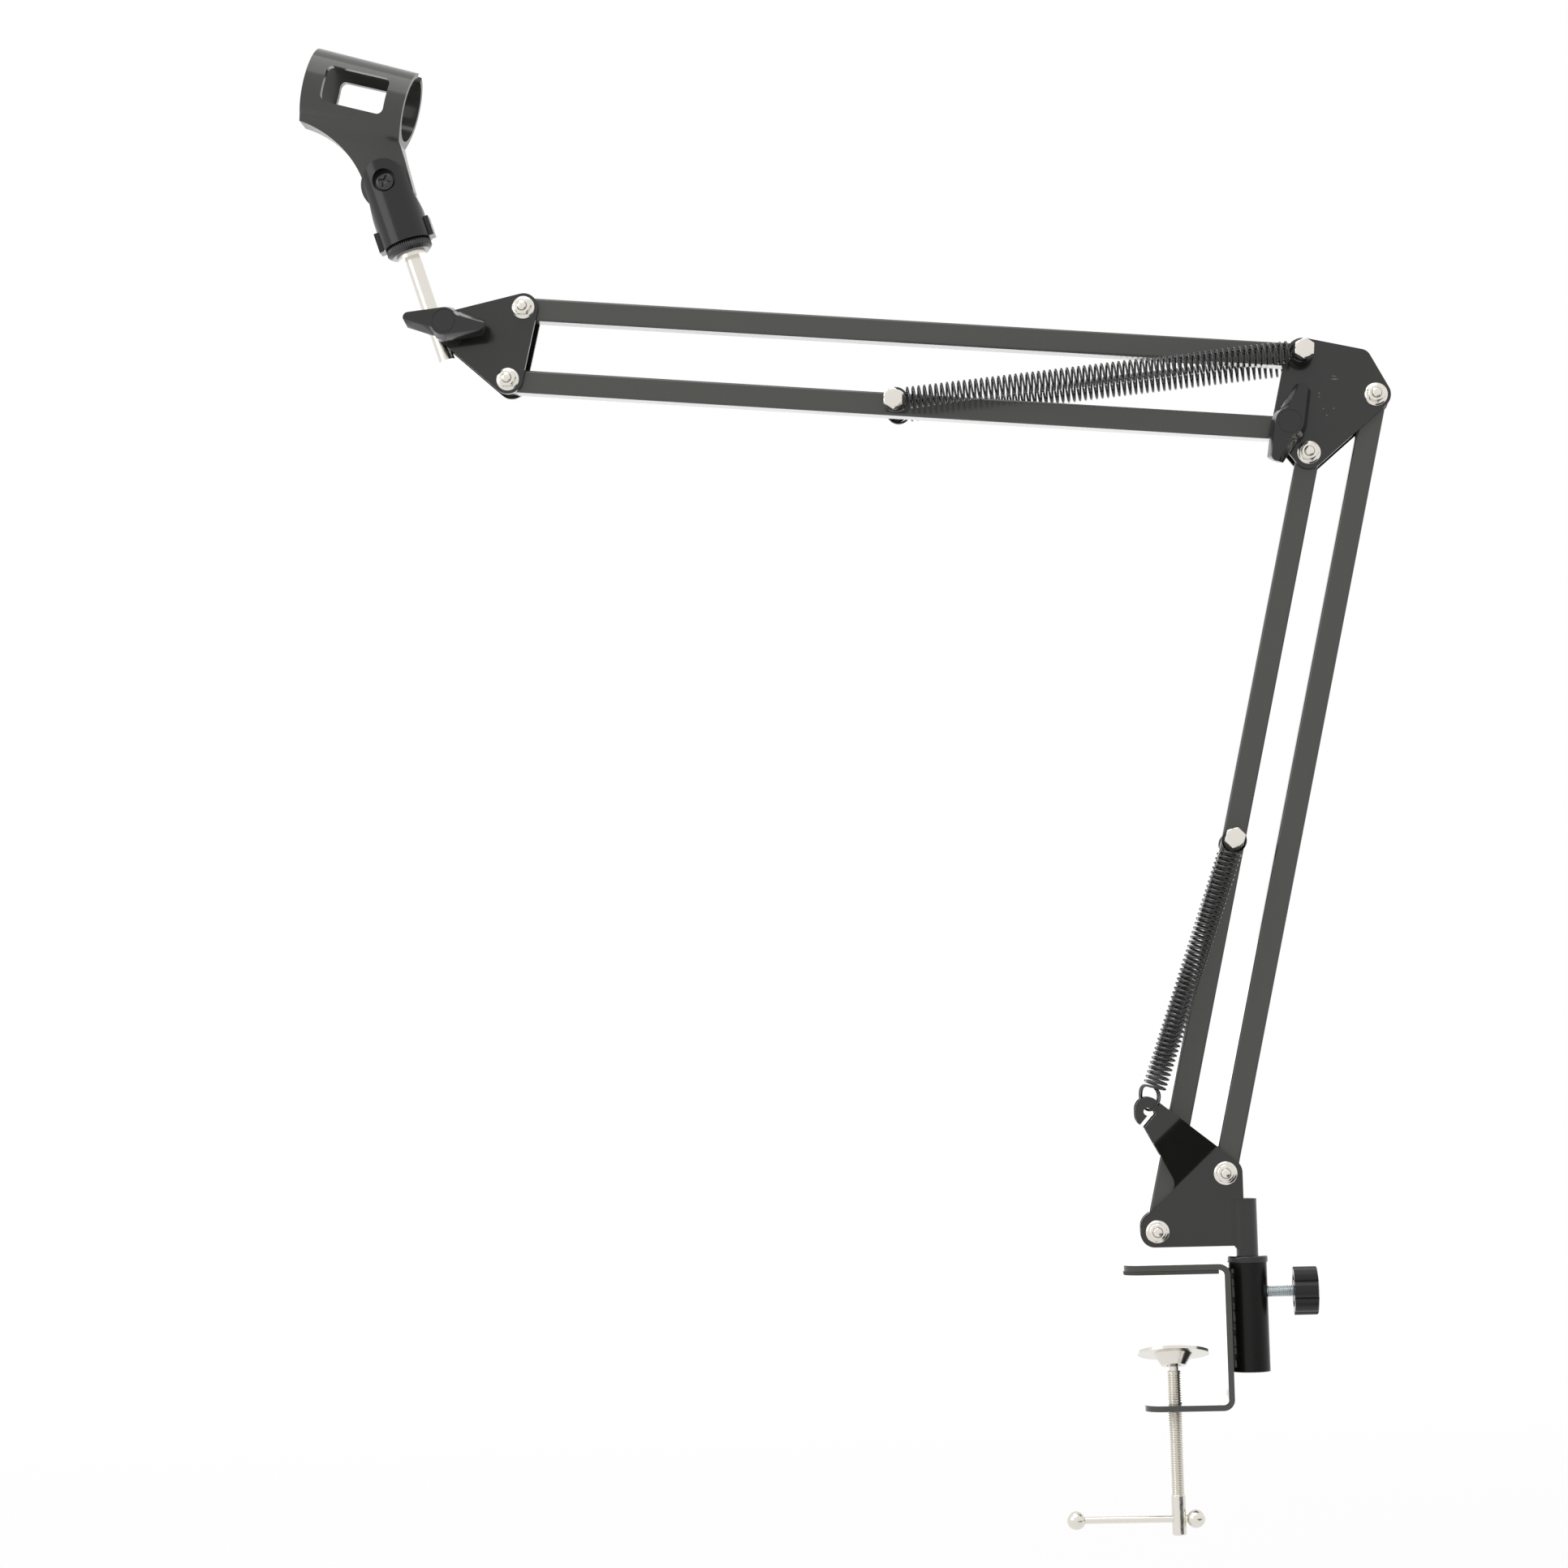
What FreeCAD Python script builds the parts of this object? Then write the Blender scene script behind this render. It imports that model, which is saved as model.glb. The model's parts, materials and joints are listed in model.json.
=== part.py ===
import FreeCAD, Part
import math
import os
from FreeCAD import Vector

# Spring-balanced boom arm that clamps to a desk edge and ends in a microphone clip.
# Millimetres. X runs along the arm, Y away from the front, Z up.
# The origin is on the desk: the middle of the pad under the clamp's top jaw.

# Desk clamp: a bent steel strip with a pad, a socket tube and a tommy screw
strip_thickness = 2.5
strip_width = 25.0
strip_bend_radius = 2.2
jaw_corner_radius = 8.0
pad_length = 40.0
pad_thickness = 1.6
pad_to_bend = 0.1
jaw_opening = 54.8
lower_jaw_reach = 35.0
tube_diameter = 16.0
tube_wall = 1.6
tube_length = 46.0
weld_width = 3.2
bush_flange_diameter = 17.2
bush_flange_thickness = 2.7
bush_rim = 0.9

# Thumb screw that locks the post in the socket
thumb_screw_diameter = 5.0
thumb_screw_below_top = 12.6
thumb_screw_exposed = 10.9
knob_diameter = 20.5
knob_thickness = 10.8
knob_lobes = 7
knob_lobe_radius = 4.0
knob_lobe_trim = 0.15
knob_turn = 276.0
knob_dome_radius = 60.0
knob_edge = 0.9
knob_cap = 3.6
knob_recess_depth = 3.0
knob_hub_radius = 4.6
knob_rim_wall = 3.2

# Clamp screw with a ball end, a swivel pad and a sliding tommy bar
screw_diameter = 6.0
ball_drop = 36.7
ball_radius = 3.2
ball_neck_radius = 2.0
ball_neck_length = 4.2
screw_length = 69.0
screw_chamfer = 0.6
swivel_diameter = 30.5
swivel_flange = 1.2
swivel_cone_top = 8.4
swivel_cone_bottom = 5.2
swivel_above_ball = 3.8
swivel_below_ball = 2.2
swivel_mouth_radius = 2.9
swivel_tilt = 14.0
tommy_diameter = 3.0
tommy_ball_diameter = 8.0
tommy_span = 50.4
tommy_from_end = 6.8

# Sheet-metal joints and the bars between them
bar_width = 10.0
bar_wall = 1.0
bar_corner = 1.2
arm_length = 340.0
washer_thickness = 0.6
washer_radius = 5.0
washer_sides = 16
sheet = 1.5
pivot_diameter = 4.0
running_gap = 0.08
overshoot = 1.0

# Base bracket, folded from one sheet round the post
base_pivot_x = -5.0
base_pivot_z = 17.8
base_pivot_spread = 38.1
base_pivot_slope = 39.3
base_low_margin = 6.5
base_high_margin = 7.0
base_left_margin = 7.2
base_right_margin = 7.2
base_left_rise = 5.1
base_corner_radius = 6.0
post_diameter = 9.4
post_bore = 6.4
post_below_desk = 38.0
neck_height = 19.7
neck_start = 7.0
neck_fillet = 1.6
hook_rise = 52.0
hook_shift = -2.6
hook_radius = 5.3
hook_left_drop = 5.8
hook_tail_x = -1.6
hook_tail_drop = 7.6
hook_pocket_radius = 1.6
hook_pocket_x = -0.2
hook_pocket_drop = 0.9
hook_pocket_length = 1.9
hook_pocket_slope = 32.0
hook_slot = 2.2
hook_slot_slope = 49.0
hook_slot_x = 3.2
hook_slot_drop = 2.1
hook_slot_reach = 16.0
hook_gap = 0.45
joggle_slope = 43.0
joggle_length = 18.6
joggle_from_pivots = 8.8
joggle_foot_bend = 4.0
joggle_top_bend = 8.0
notch_x = 9.4
notch_rise = 18.6
notch_radius = 6.0

# Arm posture and the elbow and head plates
lower_arm_lean = 12.98
upper_arm_rise = 5.9
elbow_wing_distance = 14.25
elbow_wing_direction = 127.0
upper_pivot_spread = 32.5
upper_pivot_slope = 76.7
elbow_margin = 6.9
elbow_high_margin = 6.4
elbow_spring_margin = 7.1
elbow_shoulder_radius = 5.0
elbow_shoulder_x = -6.3
elbow_shoulder_z = 15.1
head_wing_x = -25.6
head_wing_z = 24.2
head_margin = 6.4
head_nose_margin = 7.0

# Fasteners
hex_turn = 20.0
nut_flats = 7.0
nut_flange_diameter = 10.0
nut_flange = 1.0
nut_height = 4.6
bolt_past_nut = 0.9
bolt_head_flats = 7.0
bolt_head = 2.8
spring_bolt_diameter = 5.0
spring_bolt_flats = 8.0
spring_bolt_head = 3.5
spring_bolt_chamfer = 0.4
spring_nut_height = 4.0
spool_radius = 3.5
spool_flange_radius = 4.4
spool_flange = 0.8
spool_side_gap = 0.2

# Wing knobs: the outline of the face, and of the wider foot to which the sides are drafted
wing_hub_radius = 6.0
wing_hub_side = 45.0
wing_hub_crown = 98.0
wing_root_x = 6.9
wing_root_z = 2.2
wing_root_sag = 0.5
wing_tip_x = 17.9
wing_tip_z = -0.9
wing_corner_x = 15.9
wing_corner_z = 3.8
wing_tip_bulge = 0.8
wing_foot_hub_radius = 7.6
wing_foot_hub_side = 55.0
wing_foot_root_x = 5.9
wing_foot_root_z = 5.2
wing_foot_tip_x = 16.9
wing_foot_tip_z = 1.8
wing_foot_corner_x = 16.2
wing_foot_corner_z = 5.4
wing_depth = 6.5
wing_boss_radius = 7.2
wing_bolt_cover = 3.0
elbow_wing_turn = -73.3
head_wing_turn = 2.7
wing_height = 14.3
wing_cap_radius = 5.1
wing_cap_groove = 0.3

# Extension springs, each a wound wire with a loop at both ends
wire_diameter = 1.0
wire_sides = 3
spring_diameter = 9.7
spring_loop_radius = 4.9
spring_plane = 15.7
loop_travel = 300.0
loop_settle = 150.0
loop_nodes = 6
loop_gap = 0.05
upper_spring_turns = 16
lower_spring_turns = 12
hook_loop_turn = 48.0
gap_step = 0.8
gap_turns = 6

# Microphone rod, carried by a saddle on the head's wing bolt
rod_diameter = 7.0
rod_lean = 17.4
rod_offset = 6.1
rod_below_pivot = 12.4
rod_collar_diameter = 13.0
rod_collar = 2.0
rod_thread_diameter = 9.4
rod_thread = 12.0
saddle_wall = 1.2
saddle_rise = 4.5
saddle_height = 11.0

# Clip foot: a fork on a threaded insert
insert_diameter = 20.4
insert_ring = 4.5
insert_chamfer = 1.6
insert_body_diameter = 14.0
barrel_diameter = 22.8
barrel_rib = 1.3
barrel_rib_width = 7.0
barrel_rib_length = 9.0
ear_foot = 5.9
ear_shoulder = 15.7
clip_pivot_height = 71.3
ear_radius = 9.8
fork_slot = 9.2
fork_floor = 8.0
clip_screw_diameter = 4.0
clip_screw_head_diameter = 7.6
clip_screw_head = 2.4
clip_screw_recess = 2.7
clip_counterbore = 10.4
clip_nut_flats = 7.0
clip_nut = 3.2
cross_arm = 2.1
cross_blade = 0.9
cross_depth = 1.4

# Clip: a split sleeve with two windows on a flared neck
clip_bore = 28.4
clip_large_diameter = 34.8
clip_small_diameter = 32.8
clip_length = 46.0
clip_lean = 15.7
clip_rise = 35.5
clip_overhang = 1.4
clip_slit = 7.0
window_length = 28.7
window_height = 16.5
window_corner = 3.0
tongue_gap = 0.2
tongue_radius = 11.9
tongue_shift = 0.5
neck_sag = 4.0
neck_flare_start = 10.8
neck_meets_sleeve = 30.0

# Worked out from the sizes above
plate_inner = bar_width / 2 + washer_thickness
plate_outer = plate_inner + sheet
pivot_radius = pivot_diameter / 2
bar_hole = pivot_radius + running_gap
spring_bolt_radius = spring_bolt_diameter / 2
pad_half = pad_length / 2
strip_under = pad_thickness
strip_top = pad_thickness + strip_thickness
leg_inner = pad_half + pad_to_bend + strip_bend_radius
leg_outer = leg_inner + strip_thickness
socket_x = leg_outer + tube_diameter / 2
socket_top = strip_top
post_radius = post_diameter / 2
bush_top = socket_top + bush_flange_thickness
wire_radius = wire_diameter / 2
coil_radius = (spring_diameter - wire_diameter) / 2
spool_end = spring_plane + wire_radius + spool_side_gap
spring_head = spool_end + spool_flange


def polar(x, z, distance, degrees):
    """The point at a distance and direction from (x, z), in the arm's plane."""
    a = math.radians(degrees)
    return (x + distance * math.cos(a), z + distance * math.sin(a))


# Pivots of the arm, each as (x, z)
base_low = (base_pivot_x, base_pivot_z)
base_high = polar(*base_low, base_pivot_spread, base_pivot_slope)
elbow_low = polar(*base_low, arm_length, 90 - lower_arm_lean)
elbow_high = polar(*base_high, arm_length, 90 - lower_arm_lean)
elbow_wing = polar(*elbow_low, elbow_wing_distance, elbow_wing_direction)
elbow_spring = polar(*elbow_wing, upper_pivot_spread, upper_pivot_slope)
head_low = polar(*elbow_wing, arm_length, 180 - upper_arm_rise)
head_high = polar(*elbow_spring, arm_length, 180 - upper_arm_rise)
head_wing = (head_low[0] + head_wing_x, head_low[1] + head_wing_z)
lower_spring = polar(*base_low, arm_length / 2, 90 - lower_arm_lean)
upper_spring = polar(*elbow_wing, arm_length / 2, 180 - upper_arm_rise)
hook = (base_low[0] + hook_shift, base_low[1] + hook_rise)


def point(xz, y=0.0):
    return Vector(xz[0], y, xz[1])


def along_y(xz, radius, y0, y1):
    """A cylinder about the Y line through (x, z), from y0 to y1."""
    low, high = min(y0, y1), max(y0, y1)
    return Part.makeCylinder(radius, high - low, point(xz, low), Vector(0, 1, 0))


def upright(x, radius, z0, z1):
    return Part.makeCylinder(radius, z1 - z0, Vector(x, 0, z0), Vector(0, 0, 1))


def slab(wire, y0, y1):
    """An outline drawn in the plane y = 0, thickened from y0 to y1."""
    face = Part.Face(wire)
    face.translate(Vector(0, y0, 0))
    return face.extrude(Vector(0, y1 - y0, 0))


def rounded(corners):
    """A closed outline through corners (x, z, radius), each rounded by its radius."""
    edges = []
    pieces = []
    count = len(corners)
    for i, (x, z, radius) in enumerate(corners):
        here = Vector(x, 0, z)
        back = point(corners[i - 1]) - here
        ahead = point(corners[(i + 1) % count]) - here
        back.normalize()
        ahead.normalize()
        if radius <= 0:
            pieces.append((here, None, here))
            continue
        half = back.getAngle(ahead) / 2
        reach = radius / math.tan(half)
        middle = back + ahead
        middle.normalize()
        centre = here + middle * (radius / math.sin(half))
        pieces.append((here + back * reach, centre - middle * radius, here + ahead * reach))
    for i, (start, top, end) in enumerate(pieces):
        if top is not None:
            edges.append(Part.Arc(start, top, end).toShape())
        following = pieces[(i + 1) % count][0]
        if end.distanceToPoint(following) > 1e-6:
            edges.append(Part.LineSegment(end, following).toShape())
    return Part.Wire(edges)


def tangent_normal(disc, following):
    """Outward normal of the tangent from one disc (x, z, radius) to the next, both on its left."""
    way = point(following) - point(disc)
    span = way.Length
    way.normalize()
    lean = (disc[2] - following[2]) / span
    return way * lean + Vector(way.z, 0, -way.x) * math.sqrt(1 - lean * lean)


def belt(discs):
    """The outline of a belt round discs (x, z, radius), listed anticlockwise from the front."""
    count = len(discs)
    normals = [tangent_normal(disc, discs[(i + 1) % count]) for i, disc in enumerate(discs)]
    edges = []
    for i, disc in enumerate(discs):
        centre, radius = point(disc), disc[2]
        before, after = normals[i - 1], normals[i]
        first = math.atan2(before.z, before.x)
        sweep = (math.atan2(after.z, after.x) - first) % (2 * math.pi)
        middle = Vector(math.cos(first + sweep / 2), 0, math.sin(first + sweep / 2))
        start = centre + before * radius
        end = centre + after * radius
        edges.append(Part.Arc(start, centre + middle * radius, end).toShape())
        following = discs[(i + 1) % count]
        edges.append(Part.LineSegment(end, point(following) + after * following[2]).toShape())
    return Part.Wire(edges)


def prism(xz, sides, flats, y0, y1):
    """A prism with regular sides about the Y line through (x, z), flats apart."""
    corner = flats / 2 / math.cos(math.pi / sides)
    corners = [polar(*xz, corner, 360 * i / sides + hex_turn) + (0,) for i in range(sides)]
    return slab(rounded(corners), y0, y1)


def hexagon(xz, flats, y0, y1):
    return prism(xz, 6, flats, y0, y1)


def line(start, end):
    return Part.LineSegment(start, end).toShape()


def biarc(p0, t0, p1, t1):
    """Two arcs that leave p0 along t0, meet smoothly and reach p1 along t1."""
    v = p1 - p0
    t = t0 + t1
    c = 2 * (1 - t0.dot(t1))
    vt = v.dot(t)
    if c < 1e-9:
        d = v.dot(v) / (2 * vt)
    else:
        d = (-vt + math.sqrt(vt * vt + c * v.dot(v))) / c
    q0, q1 = p0 + t0 * d, p1 - t1 * d
    joint = (q0 + q1) * 0.5
    edges = []
    for start, corner, end in ((p0, q0, joint), (joint, q1, p1)):
        chord_middle = (start + end) * 0.5
        rise = corner - chord_middle
        base = end - start
        if rise.Length < 1e-7:
            edges.append(Part.LineSegment(start, end).toShape())
            continue
        half_angle = math.atan2(rise.Length, base.Length / 2)
        rise.normalize()
        top = chord_middle + rise * (base.Length / 2 * math.tan(half_angle / 2))
        edges.append(Part.Arc(start, top, end).toShape())
    return edges


def lathed(edges, x=0.0):
    """The solid that a half section in the plane y = 0 makes, turned about the upright line at x."""
    return Part.Face(Part.Wire(edges)).revolve(Vector(x, 0, 0), Vector(0, 0, 1), 360)


def turned(shape, degrees, xz):
    """The shape turned about the Y line through (x, z), clockwise seen from the front."""
    copy = shape.copy()
    copy.rotate(point(xz), Vector(0, 1, 0), degrees)
    return copy


def mirrored(shape):
    """The shape's twin on the other side of the arm's plane."""
    return shape.mirror(Vector(0, 0, 0), Vector(0, 1, 0))


def both_sides(shape):
    return [shape, mirrored(shape)]


def export(name, shapes):
    solids = shapes if isinstance(shapes, list) else [shapes]
    shape = solids[0] if len(solids) == 1 else Part.makeCompound(solids)
    shape.exportStep(f"parts/{name}.step")


# Desk clamp

def jaw_end(x0, x1, z0, z1):
    """A flat length of strip from x0 to x1 whose free end, at x0, has round corners."""
    half = strip_width / 2
    reach = x1 - x0
    plate = Part.makeBox(reach, strip_width, z1 - z0, Vector(x0, -half, z0))
    corners = [e for e in plate.Edges if abs(e.CenterOfMass.x - x0) < 1e-6 and len(e.Vertexes) == 2
               and abs(e.Vertexes[0].Z - e.Vertexes[1].Z) > 1e-6]
    return plate.makeFillet(jaw_corner_radius, corners)


def clamp_bracket():
    """The strip bent into a C: top jaw, leg and lower jaw, tapped for the clamp screw."""
    outer = strip_bend_radius + strip_thickness
    low_top = -jaw_opening
    low_under = low_top - strip_thickness
    profile = rounded([
        (-pad_half, strip_under, 0), (leg_inner, strip_under, strip_bend_radius),
        (leg_inner, low_top, strip_bend_radius), (leg_inner - lower_jaw_reach, low_top, 0),
        (leg_inner - lower_jaw_reach, low_under, 0), (leg_outer, low_under, outer),
        (leg_outer, strip_top, outer), (-pad_half, strip_top, 0),
    ])
    half = strip_width / 2
    strip = slab(profile, -half, half)
    upper_keep = jaw_end(-pad_half, leg_outer, strip_under - jaw_opening / 2, strip_top)
    lower_keep = jaw_end(leg_inner - lower_jaw_reach, leg_outer, low_under, strip_under - jaw_opening / 2)
    strip = strip.common(upper_keep.fuse(lower_keep))
    tapping = upright(0, screw_diameter / 2 + running_gap, low_under - overshoot, low_top + overshoot)
    return strip.cut(tapping)


def jaw_pad():
    return jaw_end(-pad_half, pad_half, 0, pad_thickness)


def socket_tube():
    """The socket welded to the leg, drilled for the thumb screw."""
    bottom = socket_top - tube_length
    radius = tube_diameter / 2
    solid = upright(socket_x, radius, bottom, socket_top)
    bead = Part.makeBox(radius, 2 * weld_width, tube_length, Vector(leg_outer, -weld_width, bottom))
    solid = solid.fuse(bead).removeSplitter()
    solid = solid.cut(upright(socket_x, radius - tube_wall, bottom - overshoot, socket_top + overshoot))
    drill = Part.makeCylinder(thumb_screw_diameter / 2 + running_gap, tube_diameter,
                              Vector(socket_x, 0, thumb_z), Vector(1, 0, 0))
    return solid.cut(drill)


def socket_bush():
    """A flanged plastic bush that lines the socket."""
    bottom = socket_top - tube_length
    inside = socket_x + post_radius + running_gap
    outside = socket_x + tube_diameter / 2 - tube_wall
    flange = socket_x + bush_flange_diameter / 2
    section = rounded([(inside, bottom, 0), (outside, bottom, 0), (outside, socket_top, 0),
                       (flange, socket_top, 0), (flange, bush_top, bush_rim), (inside, bush_top, 0)])
    bush = lathed(section.Edges, socket_x)
    drill = Part.makeCylinder(thumb_screw_diameter / 2 + running_gap, tube_diameter,
                              Vector(socket_x, 0, thumb_z), Vector(1, 0, 0))
    return bush.cut(drill)


thumb_z = socket_top - thumb_screw_below_top
thumb_tip = socket_x + post_radius + running_gap
knob_back = socket_x + tube_diameter / 2 + thumb_screw_exposed
knob_front = knob_back + knob_thickness
thumb_end = knob_front - knob_cap


def thumb_screw():
    return Part.makeCylinder(thumb_screw_diameter / 2, thumb_end - thumb_tip,
                             Vector(thumb_tip, 0, thumb_z), Vector(1, 0, 0))


def thumb_knob():
    """A lobed knob with a domed face and a hollow back round its hub."""
    radius = knob_diameter / 2
    axis = Vector(1, 0, 0)
    centre = Vector(knob_back, 0, thumb_z)
    blank = Part.makeCylinder(radius, knob_thickness, centre, axis)
    blank = blank.common(Part.makeSphere(knob_dome_radius, Vector(knob_front - knob_dome_radius, 0, thumb_z)))
    rim = [edge for edge in blank.Edges
           if edge.BoundBox.XMin > knob_back and edge.BoundBox.XLength < running_gap]
    blank = blank.makeFillet(knob_edge, rim)
    reach = radius - knob_lobe_radius + knob_lobe_trim
    lobes = []
    for i in range(knob_lobes):
        angle = math.radians(knob_turn + 360 * i / knob_lobes)
        out = Vector(0, math.sin(angle), math.cos(angle)) * reach
        lobes.append(Part.makeCylinder(knob_lobe_radius, knob_thickness, centre + out, axis))
    core = Part.makeCylinder(reach, knob_thickness, centre, axis)
    knob = core.multiFuse(lobes).removeSplitter().common(blank)
    hollow = Part.makeCylinder(radius - knob_rim_wall, knob_recess_depth, centre, axis)
    knob = knob.cut(hollow.cut(Part.makeCylinder(knob_hub_radius, knob_recess_depth, centre, axis)))
    return knob.cut(Part.makeCylinder(thumb_screw_diameter / 2, thumb_end - knob_back, centre, axis))


ball_z = -ball_drop
screw_top = ball_z - ball_neck_length
screw_bottom = screw_top - screw_length
tommy_z = screw_bottom + tommy_from_end
tommy_right = screw_diameter / 2 + tommy_ball_diameter / 2 + running_gap
tommy_left = tommy_right - tommy_span


def on_ball(radius, drop):
    """The right-hand point, drop below the middle, of a ball about the end of the clamp screw."""
    return Vector(math.sqrt(radius ** 2 - drop ** 2), 0, ball_z - drop)


def screw_ball_end():
    """The ball on the neck of the clamp screw."""
    crown, side = on_ball(ball_radius, -ball_radius), on_ball(ball_radius, 0)
    under = on_ball(ball_radius, math.sqrt(ball_radius ** 2 - ball_neck_radius ** 2))
    corner, foot = Vector(ball_neck_radius, 0, screw_top), Vector(0, 0, screw_top)
    ball = Part.Arc(crown, side, under).toShape()
    return lathed([ball, line(under, corner), line(corner, foot), line(foot, crown)])


def swivel_pad():
    """A pressed disc on a cone, with a ball socket, tipped on its ball as it hangs loose."""
    top = ball_z + swivel_above_ball
    under = top - swivel_flange
    bottom = ball_z - swivel_below_ball
    socket = ball_radius + running_gap
    crown, side = on_ball(socket, -socket), on_ball(socket, 0)
    mouth = on_ball(socket, math.sqrt(socket ** 2 - swivel_mouth_radius ** 2))
    corners = [mouth] + [Vector(x, 0, z) for x, z in (
        (swivel_mouth_radius, bottom), (swivel_cone_bottom, bottom), (swivel_cone_top, under),
        (swivel_diameter / 2, under), (swivel_diameter / 2, top), (0, top))] + [crown]
    edges = [line(start, end) for start, end in zip(corners, corners[1:])]
    pad = lathed(edges + [Part.Arc(crown, side, mouth).toShape()])
    pad.rotate(Vector(0, 0, ball_z), Vector(1, 0, 0), -swivel_tilt)
    return pad


def clamp_screw():
    shank = upright(0, screw_diameter / 2, screw_bottom, screw_top)
    ends = [e for e in shank.Edges if e.Curve.TypeId == "Part::GeomCircle"]
    shank = shank.makeChamfer(screw_chamfer, ends)
    drill = Part.makeCylinder(tommy_diameter / 2 + running_gap, 2 * screw_diameter,
                              Vector(-screw_diameter, 0, tommy_z), Vector(1, 0, 0))
    return shank.cut(drill)


def tommy_bar():
    start = Vector(tommy_left, 0, tommy_z)
    return Part.makeCylinder(tommy_diameter / 2, tommy_span, start, Vector(1, 0, 0))


def tommy_balls():
    """A ball on each end of the bar, which is pressed in as far as the ball's middle."""
    ball, hole = tommy_ball_diameter / 2, tommy_diameter / 2
    mouth = math.sqrt(ball ** 2 - hole ** 2)
    corners = [Vector(hole, 0, mouth), Vector(hole, 0, 0), Vector(0, 0, 0), Vector(0, 0, -ball)]
    edges = [line(start, end) for start, end in zip(corners, corners[1:])]
    side = Vector(ball, 0, 0)
    left = lathed(edges + [Part.Arc(corners[-1], side, corners[0]).toShape()])
    left.rotate(Vector(0, 0, 0), Vector(0, 1, 0), 90)
    right = left.mirror(Vector(0, 0, 0), Vector(1, 0, 0))
    left.translate(Vector(tommy_left, 0, tommy_z))
    right.translate(Vector(tommy_right, 0, tommy_z))
    return [left, right]


# Bars and fasteners

def bar(start, end, holes):
    """A square tube between two pivots with ends rounded about them. holes: (x, z, radius)."""
    half = bar_width / 2
    inner = half - bar_wall
    length = math.dist(start, end) + 2 * half

    def section(size, corner):
        outline = rounded([(x * size, z * size, corner) for x, z in ((-1, -1), (1, -1), (1, 1), (-1, 1))])
        solid = Part.Face(outline).extrude(Vector(0, length, 0))
        solid.rotate(Vector(0, 0, 0), Vector(1, 0, 0), 90)
        solid.translate(Vector(0, 0, -half))
        return solid

    tube = section(half, bar_corner).cut(section(inner, 0))
    lean = math.degrees(math.atan2(end[0] - start[0], end[1] - start[1]))
    tube.rotate(Vector(0, 0, 0), Vector(0, 1, 0), lean)
    tube.translate(point(start))
    tube = tube.common(slab(belt([start + (half,), end + (half,)]), -half, half))
    for x, z, radius in holes:
        tube = tube.cut(along_y((x, z), radius, -half - overshoot, half + overshoot))
    return tube


def washers(pivots):
    """Nylon washers on both sides of the bar at each pivot (x, z, hole radius), hidden, so with few sides."""
    def disc(xz, radius):
        return prism(xz, washer_sides, 2 * radius, -plate_inner, -bar_width / 2)

    rings = []
    for x, z, hole in pivots:
        rings += both_sides(disc((x, z), washer_radius).cut(disc((x, z), hole)))
    return rings


def pivot_bolt(xz):
    """A hex bolt from the back plate to just past its nut in front."""
    tip = -(plate_outer + nut_height + bolt_past_nut)
    bolt = hexagon(xz, bolt_head_flats, plate_outer, plate_outer + bolt_head)
    bolt = bolt.fuse(along_y(xz, pivot_radius, tip, plate_outer))
    return bolt


def flange_nut(xz):
    """A flange nut on the front plate."""
    face = -plate_outer
    nut = along_y(xz, nut_flange_diameter / 2, face - nut_flange, face)
    nut = nut.fuse(hexagon(xz, nut_flats, face - nut_height, face))
    return nut.cut(along_y(xz, pivot_radius, face - nut_height - overshoot, face + overshoot))


def spring_bolt(xz):
    """A long bolt across the arm that carries a spring on each side."""
    bolt = hexagon(xz, spring_bolt_flats, -spring_head - spring_bolt_head, -spring_head)
    edges = [e for e in bolt.Edges if abs(e.CenterOfMass.y + spring_head + spring_bolt_head) < 1e-6]
    bolt = bolt.makeChamfer(spring_bolt_chamfer, edges)
    tip = spring_head + spring_nut_height + bolt_past_nut
    return bolt.fuse(along_y(xz, spring_bolt_radius, -spring_head, tip))


def spring_nut(xz):
    nut = hexagon(xz, spring_bolt_flats, spring_head, spring_head + spring_nut_height)
    return nut.cut(along_y(xz, spring_bolt_radius, spring_head - overshoot,
                           spring_head + spring_nut_height + overshoot))


def spools(xz, seat):
    """Flanged sleeves between the seat and the bolt's ends, on which the spring loops hang."""
    sleeve = along_y(xz, spool_radius, -spool_end, -seat)
    sleeve = sleeve.fuse(along_y(xz, spool_flange_radius, -spring_head, -spool_end))
    sleeve = sleeve.cut(along_y(xz, spring_bolt_radius, -spring_head - overshoot, -seat + overshoot))
    return both_sides(sleeve)


# Base bracket

def joggled_sheet():
    """The front sheet before trimming: flat on the bar, a ramp outwards, flat again at the hook.

    Drawn with the ramp along X and the bends along Z, then turned so that the ramp climbs to the hook.
    """
    rise = spring_plane - sheet / 2 - plate_inner
    kink = sheet * math.tan(math.atan2(rise, joggle_length) / 2)
    far = 2 * hook_rise
    outline = Part.makePolygon([
        Vector(-far, -plate_inner, -far), Vector(0, -plate_inner, -far),
        Vector(joggle_length, -plate_inner - rise, -far), Vector(far, -plate_inner - rise, -far),
        Vector(far, -plate_outer - rise, -far), Vector(joggle_length - kink, -plate_outer - rise, -far),
        Vector(-kink, -plate_outer, -far), Vector(-far, -plate_outer, -far),
        Vector(-far, -plate_inner, -far),
    ])
    folded = Part.Face(outline).extrude(Vector(0, 0, 2 * far))
    for start, bend in ((0, joggle_foot_bend), (joggle_length, joggle_top_bend)):
        edges = [e for e in folded.Edges if abs(e.Vertexes[0].Z - e.Vertexes[1].Z) > far
                 and abs(e.CenterOfMass.x - start) < sheet]
        folded = folded.makeFillet(bend, edges)
    folded.rotate(Vector(0, 0, 0), Vector(0, 1, 0), -90 - joggle_slope)
    folded.translate(point(polar(*base_low, joggle_from_pivots, joggle_slope + 90)))
    return folded


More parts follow.
